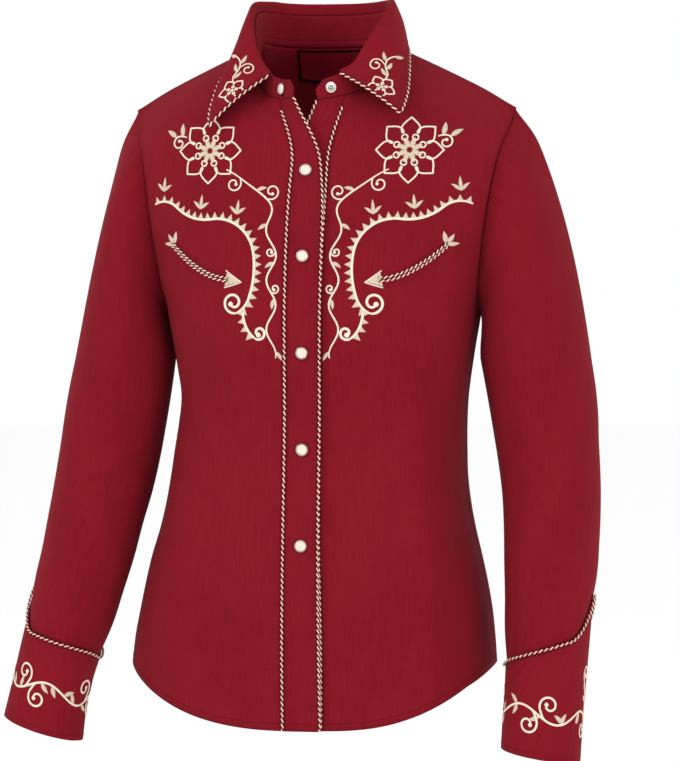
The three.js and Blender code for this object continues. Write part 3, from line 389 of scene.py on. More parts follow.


# %% [markdown]
# Worn cloth never hangs dead flat. Each crease is a soft trough or ridge along a line, placed where cloth
# folds: dragged from the armholes, gathered at the waist and elbows, falling in long flutes below.
# A row gives the two ends on the front view, in millimetres, its half width and its height (a trough is
# negative). Sleeves wrinkle most inside the elbow. Hidden sides get similar ones.

# %% Crease tables
CREASES = {
    "front": [
        # x1, z1, x2, z2, half width, height
        (-112, -300, -128, -620, 17, 2.6),
        (-88, -330, -92, -640, 12, -1.6),
        (-58, -380, -62, -640, 14, 1.8),
        (-140, -330, -160, -560, 11, -2.0),
        (-36, -420, -34, -640, 8, -0.9),
        (104, -300, 118, -610, 16, 2.4),
        (80, -340, 84, -640, 12, -1.5),
        (52, -390, 54, -640, 14, 1.7),
        (130, -350, 142, -560, 10, -1.8),
        (-150, -190, -110, -232, 9, -1.4),
        (-148, -214, -104, -262, 8, 1.2),
        (148, -196, 112, -236, 9, -1.6),
        (146, -222, 108, -268, 8, 1.2),
        (-60, -60, -96, -92, 12, 0.9),
        (64, -58, 100, -92, 12, 0.9),
        (-128, -322, -84, -346, 9, -1.1),
        (-132, -352, -92, -368, 8, 0.9),
        (130, -318, 88, -344, 9, -1.1),
        (132, -350, 96, -364, 8, 0.9),
    ],
    "back": [
        (-70, -270, -84, -640, 18, 2.6),
        (-40, -330, -44, -640, 12, -1.9),
        (-12, -300, -14, -600, 15, 2.0),
        (18, -340, 20, -640, 12, -1.7),
        (50, -280, 60, -645, 18, 2.5),
        (84, -330, 94, -630, 12, -1.8),
        (112, -300, 128, -600, 13, 1.8),
        (-104, -320, -124, -620, 12, -1.9),
        (-136, -190, -96, -236, 10, -1.5),
        (136, -194, 98, -240, 10, -1.5),
        (-60, -120, -20, -132, 12, -0.9),
        (24, -134, 70, -120, 12, -0.9),
        (-90, -330, -30, -352, 10, 1.2),
        (34, -346, 96, -330, 10, 1.2),
    ],
    "right_sleeve": [
        (-176, -372, -214, -392, 9, -2.0),
        (-172, -396, -222, -408, 8, 1.6),
        (-178, -416, -226, -424, 8, -1.8),
        (-186, -440, -232, -444, 9, 1.3),
        (-164, -300, -196, -352, 11, -1.4),
        (-226, -300, -240, -470, 12, 1.5),
        (-206, -470, -240, -560, 10, -1.2),
        (-180, -120, -206, -250, 12, -1.2),
        (-156, -262, -190, -290, 9, 1.3),
        (-244, -540, -272, -590, 9, 1.0),
    ],
    "left_sleeve": [
        (176, -360, 214, -386, 9, -2.0),
        (180, -388, 222, -404, 8, 1.5),
        (182, -412, 228, -420, 8, -1.7),
        (188, -434, 232, -436, 9, 1.2),
        (166, -296, 196, -344, 11, -1.4),
        (236, -290, 250, -430, 12, 1.4),
        (214, -470, 226, -570, 10, -1.3),
        (186, -120, 214, -240, 12, -1.2),
        (160, -262, 196, -288, 9, 1.2),
        (236, -520, 240, -580, 9, 1.0),
    ],
}


def creased(net, normal, table, keep):
    """Moves a net's points out along their normals by the sum of its creases. keep is 0 where they fade."""
    x, z = net[..., 0] / MM, net[..., 2] / MM
    height = np.zeros(x.shape)
    for x1, z1, x2, z2, half, high in table:
        length2 = (x2 - x1) ** 2 + (z2 - z1) ** 2
        t = ((x - x1) * (x2 - x1) + (z - z1) * (z2 - z1)) / length2
        bow = half * 0.7 * np.sin(np.pi * np.clip(t, 0, 1)) * math.sin(x1 * 0.37 + z1 * 0.11)
        away = ((x - x1) * (z2 - z1) - (z - z1) * (x2 - x1)) / math.sqrt(length2) - bow
        spread = half * (0.75 + 0.5 * np.clip(t, 0, 1))
        swell = np.sin(np.pi * np.clip(t, 0, 1)) ** 0.8
        height += high * swell * np.exp(-(away / spread) ** 2)
    return net + normal * (height * keep * MM)[..., None]

# %% [markdown]
# Now each cut piece. Its outside net is read, smoothed, creased and turned into a sheet of quads with its
# flat coordinates as a UV map. Solidify then gives it the thickness of the imported wall, inwards. The table
# says how big each net is, where a ray finds its outside, which edges are stitched and which are seams,
# where the creases fade.

# %% Cloth pieces
CLOTH_THICK = 1.6 * MM
STIFF_THICK = 1.8 * MM
FAR = 1.0
SIDES = (("right", -1), ("left", 1))
PIECES = {}
for side, sign in SIDES:
    # node: rows, cols, row steps, col steps, a point on it, seen from, creases, stitched edges, seams
    PIECES.update({
        side + "_front": (25, 11, 5, 5, (sign * 0.09, 0, -0.35), (0, -1, 0), "front", "bottom",
                          "top last first"),
        side + "_band": (25, 4, 5, 5, (0, 0, -0.35), (0, -1, 0), None, "first last bottom", "top"),
        side + "_sleeve": (18, 22, 7, 4, (sign * 0.21, -0.02, -0.42), (sign, 0, 0), side + "_sleeve", "",
                           "top bottom"),
    })
PIECES.update({
    "back": (25, 21, 5, 5, (0, 0, -0.35), (0, 1, 0), "back", "bottom", "top first last"),
    "right_cuff": (4, 25, 7, 4, (-0.26, -0.05, -0.62), (-1, 0, 0), None, "bottom first last top", "top"),
    "left_cuff": (4, 25, 7, 4, (0.21, -0.07, -0.62), (1, 0, 0), None, "bottom first last top", "top"),
    "collar_stand": (3, 23, 5, 4, (0, 0, 0.015), (0, 1, 0), None, "bottom first last", "top"),
    "collar_leaf": (9, 16, 3, 7, (0, 0, 0.015), (0, 1, 0), None, "bottom first last", "top"),
})
STIFF_PIECES = ("collar_stand", "collar_leaf", "right_cuff", "left_cuff")
FADE = 16 * MM
SHOULDER_PEAK = (0.187, 0.008, -0.057)
SHOULDER_SPREAD = 18 * MM
SHOULDER_EASE = (2.5 * MM, 1.5 * MM)


def edge_gap(net, names):
    """Distance of each point of a net from the nearest of its named edges."""
    down, along = lengths(net, 0), lengths(net, 1)
    gaps = {"top": down, "bottom": down[-1:] - down, "first": along, "last": along[:, -1:] - along}
    chosen = [gaps[name] for name in names.split()]
    return np.minimum.reduce(chosen) if chosen else np.full(net.shape[:2], FAR)


def facing(net, seen_from, closed=False):
    """Unit normals of a net on the side that seen_from looks at."""
    normal = across_of(net, closed)
    gap = np.linalg.norm(net - np.array(seen_from), axis=2)
    spot = np.unravel_index(gap.argmin(), gap.shape)
    return normal * np.sign(np.dot(normal[spot], np.array(seen_from) - net[spot]))


def sheet_of(name, net, normal, closed=False, seam_gap=None):
    """A mesh of quads on a net, with its flat coordinates in metres as UV map."""
    rows, cols = net.shape[:2]
    spans = cols if closed else cols - 1
    flips = np.sign(np.sum(across_of(net, closed)[rows // 2, cols // 2] * normal[rows // 2, cols // 2])) > 0
    faces, corners = [], []
    down = lengths(net, 0)
    along = lengths(joined(net, closed), 1)
    for r in range(rows - 1):
        for c in range(spans):
            quad = [(r, c), (r + 1, c), (r + 1, c + 1), (r, c + 1)]
            quad = quad if flips else quad[::-1]
            faces.append([i * cols + j % cols for i, j in quad])
            corners += [(along[i, j], -down[i, j % cols]) for i, j in quad]
    mesh = bpy.data.meshes.new(name)
    mesh.from_pydata(net.reshape(-1, 3).tolist(), [], faces)
    flat = mesh.uv_layers.new(name="cloth")
    flat.data.foreach_set("uv", np.array(corners, np.float32).ravel())
    if seam_gap is not None:
        held = mesh.attributes.new("from_seam", "FLOAT", "POINT")
        held.data.foreach_set("value", seam_gap.astype(np.float32).ravel())
    mesh.polygons.foreach_set("use_smooth", [True] * len(mesh.polygons))
    return placed(name, mesh)


def finish_with(piece, kind, **settings):
    """Adds a modifier to a piece and applies it."""
    modifier = piece.modifiers.new(kind.lower(), kind)
    for key, value in settings.items():
        setattr(modifier, key, value)
    bpy.context.view_layer.objects.active = piece
    bpy.ops.object.modifier_apply(modifier=modifier.name)


def eased(net):
    """Takes the point off each shoulder: the same small move for every piece that meets there."""
    for sign in (-1, 1):
        peak = np.array([sign * SHOULDER_PEAK[0], *SHOULDER_PEAK[1:]])
        near = np.exp(-np.sum((net - peak) ** 2, axis=2) / (2 * SHOULDER_SPREAD ** 2))
        net = net - near[:, :, None] * np.array([sign * SHOULDER_EASE[0], 0, SHOULDER_EASE[1]])
    return net


nets, outs, cloth = {}, {}, {}
for name, (rows, cols, row_steps, col_steps, spot, way, table, stitched, held) in PIECES.items():
    tube = name.endswith("_sleeve")
    seen = np.array(spot) + FAR * np.array(way)
    packed = net_of(name, rows, cols, seen, spot, tube)
    fine = eased(smooth_net(packed, row_steps, col_steps, tube))
    normal = facing(fine, seen, tube)
    if table:
        fade = np.clip(edge_gap(fine, held) / FADE, 0, 1)
        fine = creased(fine, normal, CREASES[table], fade * fade * (3 - 2 * fade))
        normal = facing(fine, seen, tube)
    nets[name], outs[name] = fine, normal
    piece = sheet_of("cloth_" + name, fine, normal, tube, edge_gap(fine, stitched))
    finish_with(piece, "SOLIDIFY", thickness=STIFF_THICK if name in STIFF_PIECES else CLOTH_THICK, offset=-1)
    piece.data.materials.append(red_twill)
    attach(piece, BODY)
    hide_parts(name)
    cloth[name] = piece

# %% [markdown]
# Stitched twisted cord edges this shirt. It is two strands, one cream and one dark red, laid round each
# other. The path is taken from the smoothed nets, so the cord follows each seam and edge.

# %% Piping materials
# The second, darker cream is painted shade, laid into the grooves between the strand's ridges.
CREAM = linear(240, 226, 204)
CREAM_GROOVE_SHADE = linear(196, 178, 150)


def thread_material(name, light, dark, pitch, gloss=0.5):
    """Twisted or satin-stitched thread: fine ridges across the strand, from its UV map in metres, with
    painted shade: dark is the colour laid into the grooves between the ridges, light the colour on them.
    """
    material, tree, shader = new_material(name)
    flat = node(tree, "UVMap", uv_map="thread")
    ridge = ribbed(tree, flat, 1 / pitch / 6.28, 0.6, bands_direction="X")
    # The colour follows the ridge height: light on each ridge, dark in the grooves between, a painted shade
    # that matches the bump.
    fill(tree, shader, {"Base Color": two_tone(tree, ridge, dark, light),
                        "Normal": raised(tree, (ridge, 0.5, 0.2 * MM)),
                        "Roughness": 0.55, "Specular IOR Level": gloss, "Sheen Weight": 0.2 * gloss})
    return material


cream_strand = thread_material("cream_strand", CREAM, CREAM_GROOVE_SHADE, 0.0006)
# The red strand's darker red is likewise painted shade in the grooves of its twist.
red_strand = thread_material("red_strand", linear(132, 14, 32), linear(96, 8, 22), 0.0006, 0.06)

# %% Twisted cord
PIPING_R = 1.3 * MM
SEAM = 0.3 * MM
BAND_PITCH = 5.2 * MM
COLLAR_PITCH = 6.4 * MM
CORD_STEPS, STRAND_SIDES = 9, 8


def even_path(points, step):
    """Points at equal steps along a path, and how far along each one is."""
    points = np.asarray(points)
    walked = travelled(points)
    at = np.linspace(0, walked[-1], max(int(walked[-1] / step), 3) + 1)
    return np.stack([np.interp(at, walked, points[:, k]) for k in range(3)], axis=1), at


def frames_along(path, hint):
    """Unit tangent, side and top vectors along a path, the top kept near hint."""
    tangent = np.gradient(path, axis=0)
    tangent /= np.linalg.norm(tangent, axis=1)[:, None]
    top = hint - np.sum(hint * tangent, axis=1)[:, None] * tangent
    top /= np.linalg.norm(top, axis=1)[:, None]
    return tangent, np.cross(tangent, top), top


def strips(name, parts, threads):
    """One mesh of closed strips. A part is its rings of points, how far along each one is, the way that
    its faces wind (1 or -1) and the number of its thread."""
    verts, faces, flat, index = [], [], [], []
    for rings, at, order, thread in parts:
        start, sides = len(verts), len(rings[0])
        for ring in rings:
            verts += [tuple(point) for point in ring]
        for i in range(len(rings) - 1):
            for j in range(sides):
                a, b, n = start + i * sides, start + (i + 1) * sides, (j + 1) % sides
                faces.append([a + j, b + j, b + n, a + n][::order])
                flat += [(at[i], j / sides), (at[i + 1], j / sides), (at[i + 1], (j + 1) / sides),
                         (at[i], (j + 1) / sides)][::order]
        for ring, turn in ((start, 1), (len(verts) - sides, -1)):
            faces.append([ring + j for j in range(sides)][::turn * order])
            flat += [(0, 0)] * sides
        index += [thread] * (len(faces) - len(index))
    mesh = bpy.data.meshes.new(name)
    mesh.from_pydata(verts, [], faces)
    mesh.uv_layers.new(name="thread").data.foreach_set("uv", np.array(flat, np.float32).ravel())
    for thread in threads:
        mesh.materials.append(thread)
    mesh.polygons.foreach_set("material_index", index)
    mesh.polygons.foreach_set("use_smooth", [True] * len(mesh.polygons))
    made = placed(name, mesh)
    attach(made, BODY)
    return made


def twisted_cord(name, points, hint, pitch):
    """Two round strands laid round each other along a path."""
    path, at = even_path(points, pitch / CORD_STEPS)
    for _ in range(min(4, len(path) // 4)):
        path[1:-1] = (path[:-2] + 2 * path[1:-1] + path[2:]) / 4
    _, side, top = frames_along(path, np.broadcast_to(np.asarray(hint, float), path.shape))
    thick = PIPING_R * 0.56
    round_it = lambda a: np.cos(a)[:, None] * side + np.sin(a)[:, None] * top
    parts = []
    for k in (0, 1):
        middle = path + (PIPING_R - thick) * round_it(at / pitch * math.tau + k * math.pi)
        lines = [middle + thick * round_it(np.full(len(at), math.tau * j / STRAND_SIDES))
                 for j in range(STRAND_SIDES)]
        parts.append((np.stack(lines, axis=1), at, -1, k))
    return strips(name, parts, (cream_strand, red_strand))


def edge_offset(normal, line, inner):
    """A path beside a free edge of the cloth, half a thickness behind its face."""
    across = line - inner
    across /= np.linalg.norm(across, axis=1)[:, None]
    return line + across * (PIPING_R + SEAM) - normal * CLOTH_THICK / 2


cords = {}
for side, sign in SIDES:
    front, band = nets[side + "_front"], nets[side + "_band"]
    seam = (front[:, 0] + outs[side + "_front"][:, 0] * (PIPING_R + SEAM))[5:]
    edge = edge_offset(outs[side + "_band"][:, 0], band[:, 0], band[:, 1])
    cords[f"piping_{side}_band_seam"] = (seam, (0, -1, 0), BAND_PITCH)
    cords[f"piping_{side}_band_edge"] = (edge, (0, -1, 0), BAND_PITCH)
    cuff = nets[side + "_cuff"]
    cuff_top = cuff[0] + outs[side + "_cuff"][0] * (PIPING_R + SEAM) + np.array([0, 0, 0.15 * MM])
    cords[f"piping_{side}_cuff"] = (cuff_top[8:], (sign * 0.3, -1, 0.2), BAND_PITCH)
for name, (points, hint, pitch) in cords.items():
    made = twisted_cord("cord_" + name[7:], points, hint, pitch)
    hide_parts(name)
    print(name, "cord length, m:", round(float(travelled(points)[-1]), 3))

# %% [markdown]
# The collar's cord goes round three edges of the leaf. The pocket's two cords lie side by side and twist
# opposite ways, so that together they read as a braid.

# %% Collar and pocket cords
LEAF_BARE = 9
LEAF_CLEAR = 0.45 * MM
POCKET_CLEAR = 0.3 * MM
POCKET_END, POCKET_START = (130, -189), (71, -222)


def leaf_path(net, normal):
    """The path of the cord round the leaf, from its fold at one end to the fold at the other."""
    gap = PIPING_R + SEAM + LEAF_CLEAR
    behind = -normal * STIFF_THICK / 2
    unit = lambda v: v / np.linalg.norm(v, axis=-1, keepdims=True)
    first = net[:, 0] + unit(net[:, 0] - net[:, 1]) * gap + behind[:, 0]
    last = net[:, -1] + unit(net[:, -1] - net[:, -2]) * gap + behind[:, -1]
    low = net[-1] + unit(net[-1] - net[-2]) * gap + behind[-1]
    corner = []
    for c, side in ((0, first), (-1, last)):
        out = unit(side[-1] - net[-1, c]) + unit(low[c] - net[-1, c])
        corner.append(net[-1, c] + out * gap * 0.78 + behind[-1, c])
    down, up = first[LEAF_BARE:-2], last[LEAF_BARE:-2][::-1]
    return np.concatenate([down, corner[:1], low[2:-2], corner[1:], up])


leaf, leaf_out = nets["collar_leaf"], outs["collar_leaf"]
made = twisted_cord("cord_collar", leaf_path(leaf, leaf_out), (0, -0.5, 1), COLLAR_PITCH)
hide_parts("piping_collar")


def tree_of(names):
    """A search tree over the outer faces of some nets."""
    points, faces = [], []
    for name in names:
        net = nets[name]
        rows, cols = net.shape[:2]
        start = len(points)
        points += net.reshape(-1, 3).tolist()
        faces += [[start + i * cols + j, start + (i + 1) * cols + j, start + (i + 1) * cols + j + 1,
                   start + i * cols + j + 1] for i in range(rows - 1) for j in range(cols - 1)]
    return BVHTree.FromPolygons(points, faces)


def on_front(tree, x, z):
    """The point and outward normal of the cloth straight behind (x, z) in millimetres."""
    place, normal, _, _ = tree.ray_cast(Vector((x * MM, -FAR, z * MM)), Vector((0, 1, 0)))
    if place is None:
        return None, None
    normal = np.array(normal) * (1 if normal.y < 0 else -1)
    return np.array(place), normal


fronts = {side: tree_of([side + "_front"]) for side in ("right", "left")}
for side, sign in SIDES:
    for level, key, turned in ((1.6, "upper", 1), (-1.6, "lower", -1)):
        line = []
        for t in np.linspace(0, 1, 40):
            x = POCKET_START[0] + (POCKET_END[0] - POCKET_START[0]) * t
            z = POCKET_START[1] + (POCKET_END[1] - POCKET_START[1]) * t ** 1.8 + level
            place, normal = on_front(fronts[side], sign * x, z)
            line.append(place + normal * (PIPING_R + SEAM + POCKET_CLEAR))
        made = twisted_cord(f"cord_{side}_pocket_{key}", line[::turned], (0, -1, 0), BAND_PITCH)
        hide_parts(f"piping_{side}_pocket_{key}")

# %% [markdown]
# Pearl snaps: a nickel rim with a rounded edge, and a domed pearl cap pressed into it. The pattern snap is
# modelled once in edit mode, then each snap gets its own copy of the mesh, turned to its packed place.

# %% Snap materials
metal, tree, shader = new_material("nickel")
grain = cloudy(tree, node(tree, "TexCoord").node.outputs["Object"], 900)
fill(tree, shader, {"Base Color": linear(168, 162, 154), "Metallic": 1.0, "Roughness": 0.28,
                    "Normal": raised(tree, (grain, 0.12, 0.1 * MM))})

pearl, tree, shader = new_material("pearl")
cloud = cloudy(tree, node(tree, "TexCoord").node.outputs["Object"], 420)
fill(tree, shader, {"Base Color": two_tone(tree, cloud, linear(196, 184, 168), linear(226, 217, 203)),
                    "Roughness": 0.16, "Coat Weight": 0.5, "Subsurface Weight": 0.1,
                    "Subsurface Scale": 1 * MM})

# %% Snap patterns
SNAP_R, SNAP_H = 5.75 * MM, 2.6 * MM
SHADING_ANGLE = math.radians(35)


def shown(piece):
    """Smooth shading up to the shading angle."""
    bpy.ops.object.select_all(action="DESELECT")
    piece.select_set(True)
    bpy.context.view_layer.objects.active = piece
    bpy.ops.object.shade_smooth_by_angle(angle=SHADING_ANGLE)
    return piece


def disc(name, radius, height, dish, wall):
    """A round cup: a cylinder whose top face is inset and pressed down."""
    bpy.ops.mesh.primitive_cylinder_add(vertices=48, radius=radius, depth=height,
                                        location=(0, 0, height / 2))
    piece = bpy.context.active_object
    piece.name = name
    bpy.ops.object.transform_apply(location=True, rotation=True, scale=True)
    bpy.ops.object.mode_set(mode="EDIT")
    bpy.ops.mesh.select_mode(type="FACE")
    bpy.ops.mesh.select_all(action="DESELECT")
    mesh = bmesh.from_edit_mesh(piece.data)
    for face in mesh.faces:
        face.select = face.normal.z > 0.9
    bmesh.update_edit_mesh(piece.data)
    bpy.ops.mesh.inset(thickness=wall)
    bpy.ops.mesh.extrude_region_move(TRANSFORM_OT_translate={"value": (0, 0, -dish)})
    bpy.ops.object.mode_set(mode="OBJECT")
    finish_with(piece, "BEVEL", width=0.28 * MM, segments=3, limit_method="ANGLE",
                angle_limit=math.radians(50))
    return shown(piece)


def dome(name, radius, height, base):
    """A shallow cap: the upper half of a flattened ball, closed below."""
    bpy.ops.mesh.primitive_uv_sphere_add(segments=48, ring_count=20, radius=radius)
    piece = bpy.context.active_object
    piece.name = name
    piece.scale = (1, 1, height / radius)
    bpy.ops.object.transform_apply(location=False, rotation=False, scale=True)
    bpy.ops.object.mode_set(mode="EDIT")
    bpy.ops.mesh.select_all(action="SELECT")
    bpy.ops.mesh.bisect(plane_co=(0, 0, 0.00001), plane_no=(0, 0, 1), clear_inner=True, use_fill=True)
    bpy.ops.mesh.select_all(action="SELECT")
    bpy.ops.transform.translate(value=(0, 0, base))
    bpy.ops.mesh.normals_make_consistent(inside=False)
    bpy.ops.object.mode_set(mode="OBJECT")
    return shown(piece)


rim = disc("pattern_rim", SNAP_R, 1.7 * MM, 0.6 * MM, 0.9 * MM)
cap = dome("pattern_cap", SNAP_R - 0.95 * MM, SNAP_H - 1.15 * MM, 1.15 * MM)
base = disc("pattern_base", SNAP_R * 0.9, 1.1 * MM, 0.5 * MM, 1.1 * MM)
stud = dome("pattern_stud", SNAP_R * 0.42, 2.2 * MM, 0.6 * MM)
for piece, cover in ((rim, metal), (cap, pearl), (base, metal), (stud, metal)):
    piece.data.materials.clear()
    piece.data.materials.append(cover)

# %% Place the snaps


def snap_place(node_name, inside):
    """The foot and outward direction of a packed snap, found from its flat side."""
    points = np.array([v.co[:] for v in frame["nodes"][node_name].data.vertices])
    middle = (points.max(axis=0) + points.min(axis=0)) / 2
    centred = points - points.mean(axis=0)
    out = np.linalg.svd(centred, full_matrices=False)[2][2]
    out *= np.sign(np.dot(out, middle - np.array(inside)))
    reach = points @ out
    foot = middle + out * (reach.min() - middle @ out)
    return Vector(foot), Vector(out)


def set_copy(pattern, name, foot, out, node_name):
    """A copy of a pattern with its own mesh, moved to its place."""
    mesh = pattern.data.copy()
    turn = out.to_track_quat("Z", "Y").to_matrix().to_4x4()
    turn.translation = foot
    mesh.transform(turn)
    made = placed(name, mesh)
    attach(made, BODY)
    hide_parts(node_name)


inside_of = {"front": (0, 0, -0.3), "collar": (0, 0, -0.05), "right": (-0.2565, -0.047, -0.62),
             "left": (0.22, -0.07, -0.62)}
snap_nodes = [n for n in frame["nodes"] if n.startswith("snap_")]
for name in sorted(snap_nodes):
    foot, out = snap_place(name, inside_of[name.split("_")[1]])
    if name == "snap_collar_stud":
        set_copy(base, name + "_base", foot, out, name)
        set_copy(stud, name + "_post", foot, out, name)
    else:
        set_copy(rim, name + "_rim", foot, out, name)
        set_copy(cap, name + "_cap", foot, out, name)
    print(name, [round(v, 4) for v in foot], [round(v, 2) for v in out])
for piece in (rim, cap, base, stud):
    bpy.data.objects.remove(piece)

# %% [markdown]
# The neck label is a plain woven tab on the inside of the back, with a darker border stitched round it.

# %% Neck label
LABEL_THICK = 0.8 * MM
LABEL_SEEN = (0, -FAR, -20 * MM)
label_cloth, tree, shader = new_material("label_weave")
border = node(tree, "MapRange", {"Value": fact(tree, "from_seam"), "From Min": 2.2 * MM,
                                 "From Max": 2.6 * MM})
weft = ribbed(tree, node(tree, "UVMap", uv_map="cloth"), 260, 0.4)
fill(tree, shader, {"Base Color": two_tone(tree, border, linear(30, 3, 9), linear(112, 14, 28)),
                    "Normal": raised(tree, (weft, 0.4, 0.2 * MM)),
                    "Roughness": 0.85, "Specular IOR Level": 0.05})

label_net = smooth_net(net_of("neck_label", 5, 7, LABEL_SEEN, (0, 0, LABEL_SEEN[2])), 4, 4)
label_out = facing(label_net, LABEL_SEEN)
label_gap = edge_gap(label_net, "top bottom first last")
label = sheet_of("cloth_neck_label", label_net, label_out, False, label_gap)
finish_with(label, "SOLIDIFY", thickness=LABEL_THICK, offset=-1)
label.data.materials.append(label_cloth)
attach(label, BODY)
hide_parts("neck_label")

# %% [markdown]
# The embroidery is a western floral scroll, the traditional kind, in a layout of its own: an open flower, a
# vine that waves down beside the band, and a scroll line with a row of points. The scroll is drafted from
# arcs and the vine is a sine wave. A stroke is a raised strip of satin stitch, wide or narrow along its way,
# laid on the cloth by casting each of its points onto a net.

# %% Embroidery strokes
LINE, FINE_LINE, SCROLL = 1.9, 1.7, 2.7
LINED, FILLED = 0, 1
RAISED, LIFT = 0.55 * MM, 0.04 * MM
STROKE_STEP = 0.8
SPRIG_RISE = 9.5
ARROW_TIP = (58, -224.5)
POINT_GAP, POINT_BASE, POINT_HIGH = 7.4, 5.4, 5.2


def knots(points, steps=8):
    """A smooth line through knots in millimetres."""
    return through(np.array(points, float), steps)


def stroke(points, width=LINE, taper=0.0):
    """A line of even width, thinner at its ends by taper."""
    points = np.array(points, float)
    at = np.linspace(0, 1, len(points))
    ends = np.clip(np.minimum(at, 1 - at) / 0.12, 0, 1)
    return points, width * (1 - taper * (1 - ends)), LINED


def curl(stem, centre, hand, turns=1.25, inner=0.32, width=LINE):
    """A stem that winds into a spiral round a centre, then ends in a round bud."""
    arm = np.array(stem[-1], float) - centre
    radius, start = np.hypot(*arm), math.atan2(arm[1], arm[0])
    t = np.linspace(0, 1, 40)
    angle = start + hand * t * turns * 2 * math.pi
    length = radius * (1 - (1 - inner) * t ** 0.8)
    spiral = centre + np.stack([np.cos(angle), np.sin(angle)], axis=1) * length[:, None]
    return [stroke(np.concatenate([knots(stem, 6)[:-1], spiral]), width, 0.3), bud(spiral[-1], width * 0.95)]


def bud(place, radius):
    """A round filled dot."""
    t = np.linspace(-1, 1, 9)
    points = np.array(place) + np.stack([t * radius, 0 * t], axis=1)
    return points, 2 * radius * np.sqrt(np.clip(1 - t * t, 0, 1)) + 0.05, LINED


def leaf_shape(place, angle, length, width=4.2, bend=0.35):
    """A pointed leaf of satin stitch, growing from place at an angle in degrees."""
    t = np.linspace(0, 1, 14)
    turn = math.radians(angle) + bend * (t - 0.5)
    step = np.stack([np.cos(turn), np.sin(turn)], axis=1) * length / 13
    spine = np.array(place, float) + np.concatenate([[[0, 0]], np.cumsum(step[1:], axis=0)])
    return spine, width * np.sin(math.pi * t ** 0.85) ** 0.9 + 0.08, FILLED


def sprig(place, angle, size):
    """Three slender leaves that fan out from one point."""
    return [leaf_shape(place, angle + turn, size * share, size * 0.24, turn / 110)
            for turn, share in ((-48, 0.78), (0, 1.0), (48, 0.78))]


def pointed(place, out, base, height):
    """A triangle of satin stitch on a line."""
    t = np.linspace(0, 1, 6)
    spine = np.array(place) + np.array(out) * (t * height)[:, None]
    return spine, base * (1 - t) + 0.1, FILLED


def points_along(path, side, start, stop):
    """A row of triangles on one side of a line, a little larger towards its end."""
    walked = travelled(path)
    along = np.gradient(path, axis=0)
    along /= np.linalg.norm(along, axis=1)[:, None]
    made = []
    for s in np.arange(start * walked[-1], stop * walked[-1], POINT_GAP):
        share = s / walked[-1]
        p = np.array([np.interp(s, walked, path[:, k]) for k in (0, 1)])
        d = np.array([np.interp(s, walked, along[:, k]) for k in (0, 1)])
        out = side * np.array([-d[1], d[0]]) / np.hypot(*d)
        grow = 1 + 0.35 * share
        made.append(pointed(p + out * 0.8, out, POINT_BASE * grow, POINT_HIGH * grow))
    return made


def flower(centre, reach, core, petals, turn=0.0):
    """An open flower: a line round pointed petals with a small loop between each two, and a leafy heart."""
    centre = np.array(centre, float)
    made = []
    polar = lambda a, r: centre + np.stack([np.cos(a) * r, np.sin(a) * r], axis=-1)
    half = math.pi / petals
    for k in range(petals):
        middle = turn + k * 2 * half
        t = np.linspace(-0.8, 0.8, 41)
        out = 1 - np.abs(t)
        widest = reach * 0.66 * math.tan(min(half, 0.5))
        belly = np.sign(t) * widest * np.sin(math.pi * (0.13 + 0.87 * out)) ** 1.1
        far = core + (reach - core) * out
        way = np.array([math.cos(middle), math.sin(middle)])
        side = np.array([-way[1], way[0]])
        made.append(stroke(centre + far[:, None] * way + belly[:, None] * side, LINE * 0.92))
        joint = middle + half
        loop = np.linspace(0, 2 * math.pi, 21)
        ring = reach * 0.085
        hub = polar(np.array(joint), core + (reach - core) * 0.2 - ring)
        made.append(stroke(hub + np.stack([np.cos(loop), np.sin(loop)], axis=1) * ring, LINE * 0.85))
    for k in range(petals):
        a = turn + (2 * k + 1) * half
        foot = polar(np.array(a), reach * 0.07)
        made.append(leaf_shape(foot, math.degrees(a), core * 0.92, core * 0.44, 0))
    loop = np.linspace(0, 2 * math.pi, 25)
    made.append(stroke(polar(loop, core * 0.36), LINE * 0.7))
    return made


def leaves_along(path, places, length):
    """Leaves on a vine: each place is a share of its length, a side and a lean in degrees."""
    made = []
    for share, side, lean in places:
        i = int(share * (len(path) - 2))
        d = path[i + 1] - path[i]
        heading = math.degrees(math.atan2(d[1], d[0]))
        made.append(leaf_shape(path[i], heading + side * lean, length, length * 0.37, -side * 0.5))
    return made


def drafted(start, heading, arcs, step=2.0):
    """A line of arcs, as drawn with compasses: each arc is a radius and a turn in degrees, left positive."""
    points, angle = [np.array(start, float)], math.radians(heading)
    for radius, turn in arcs:
        turn = math.radians(turn)
        count = max(int(radius * abs(turn) / step), 2)
        for i in range(count):
            way = angle + turn * (i + 0.5) / count
            points.append(points[-1] + radius * abs(turn) / count * np.array([math.cos(way), math.sin(way)]))
        angle += turn
    return np.array(points)


def wound(start, heading, radius, side, turns, lead, width):
    """A line that leaves its start under a heading and winds up on one side of it, ever tighter."""
    steps = int(turns * 12)
    lap = [(radius * (1 - 0.72 * i / steps), side * 30.0) for i in range(steps)]
    path = drafted(start, heading, ([(lead, side * 25.0)] if lead else []) + lap, 0.9)
    return [stroke(path, width, 0.3), bud(path[-1], width * 0.95)]


def tendrils(path, shares, radius, turns):
    """Tendrils that leave a vine alternately to its left and right."""
    made, side = [], 1
    for share in shares:
        i = min(int(share * (len(path) - 1)), len(path) - 2)
        along = path[i + 1] - path[i]
        heading = math.degrees(math.atan2(along[1], along[0]))
        made += wound(path[i], heading + 28 * side, radius, side, turns, radius * 1.6, FINE_LINE)
        side = -side
    return made


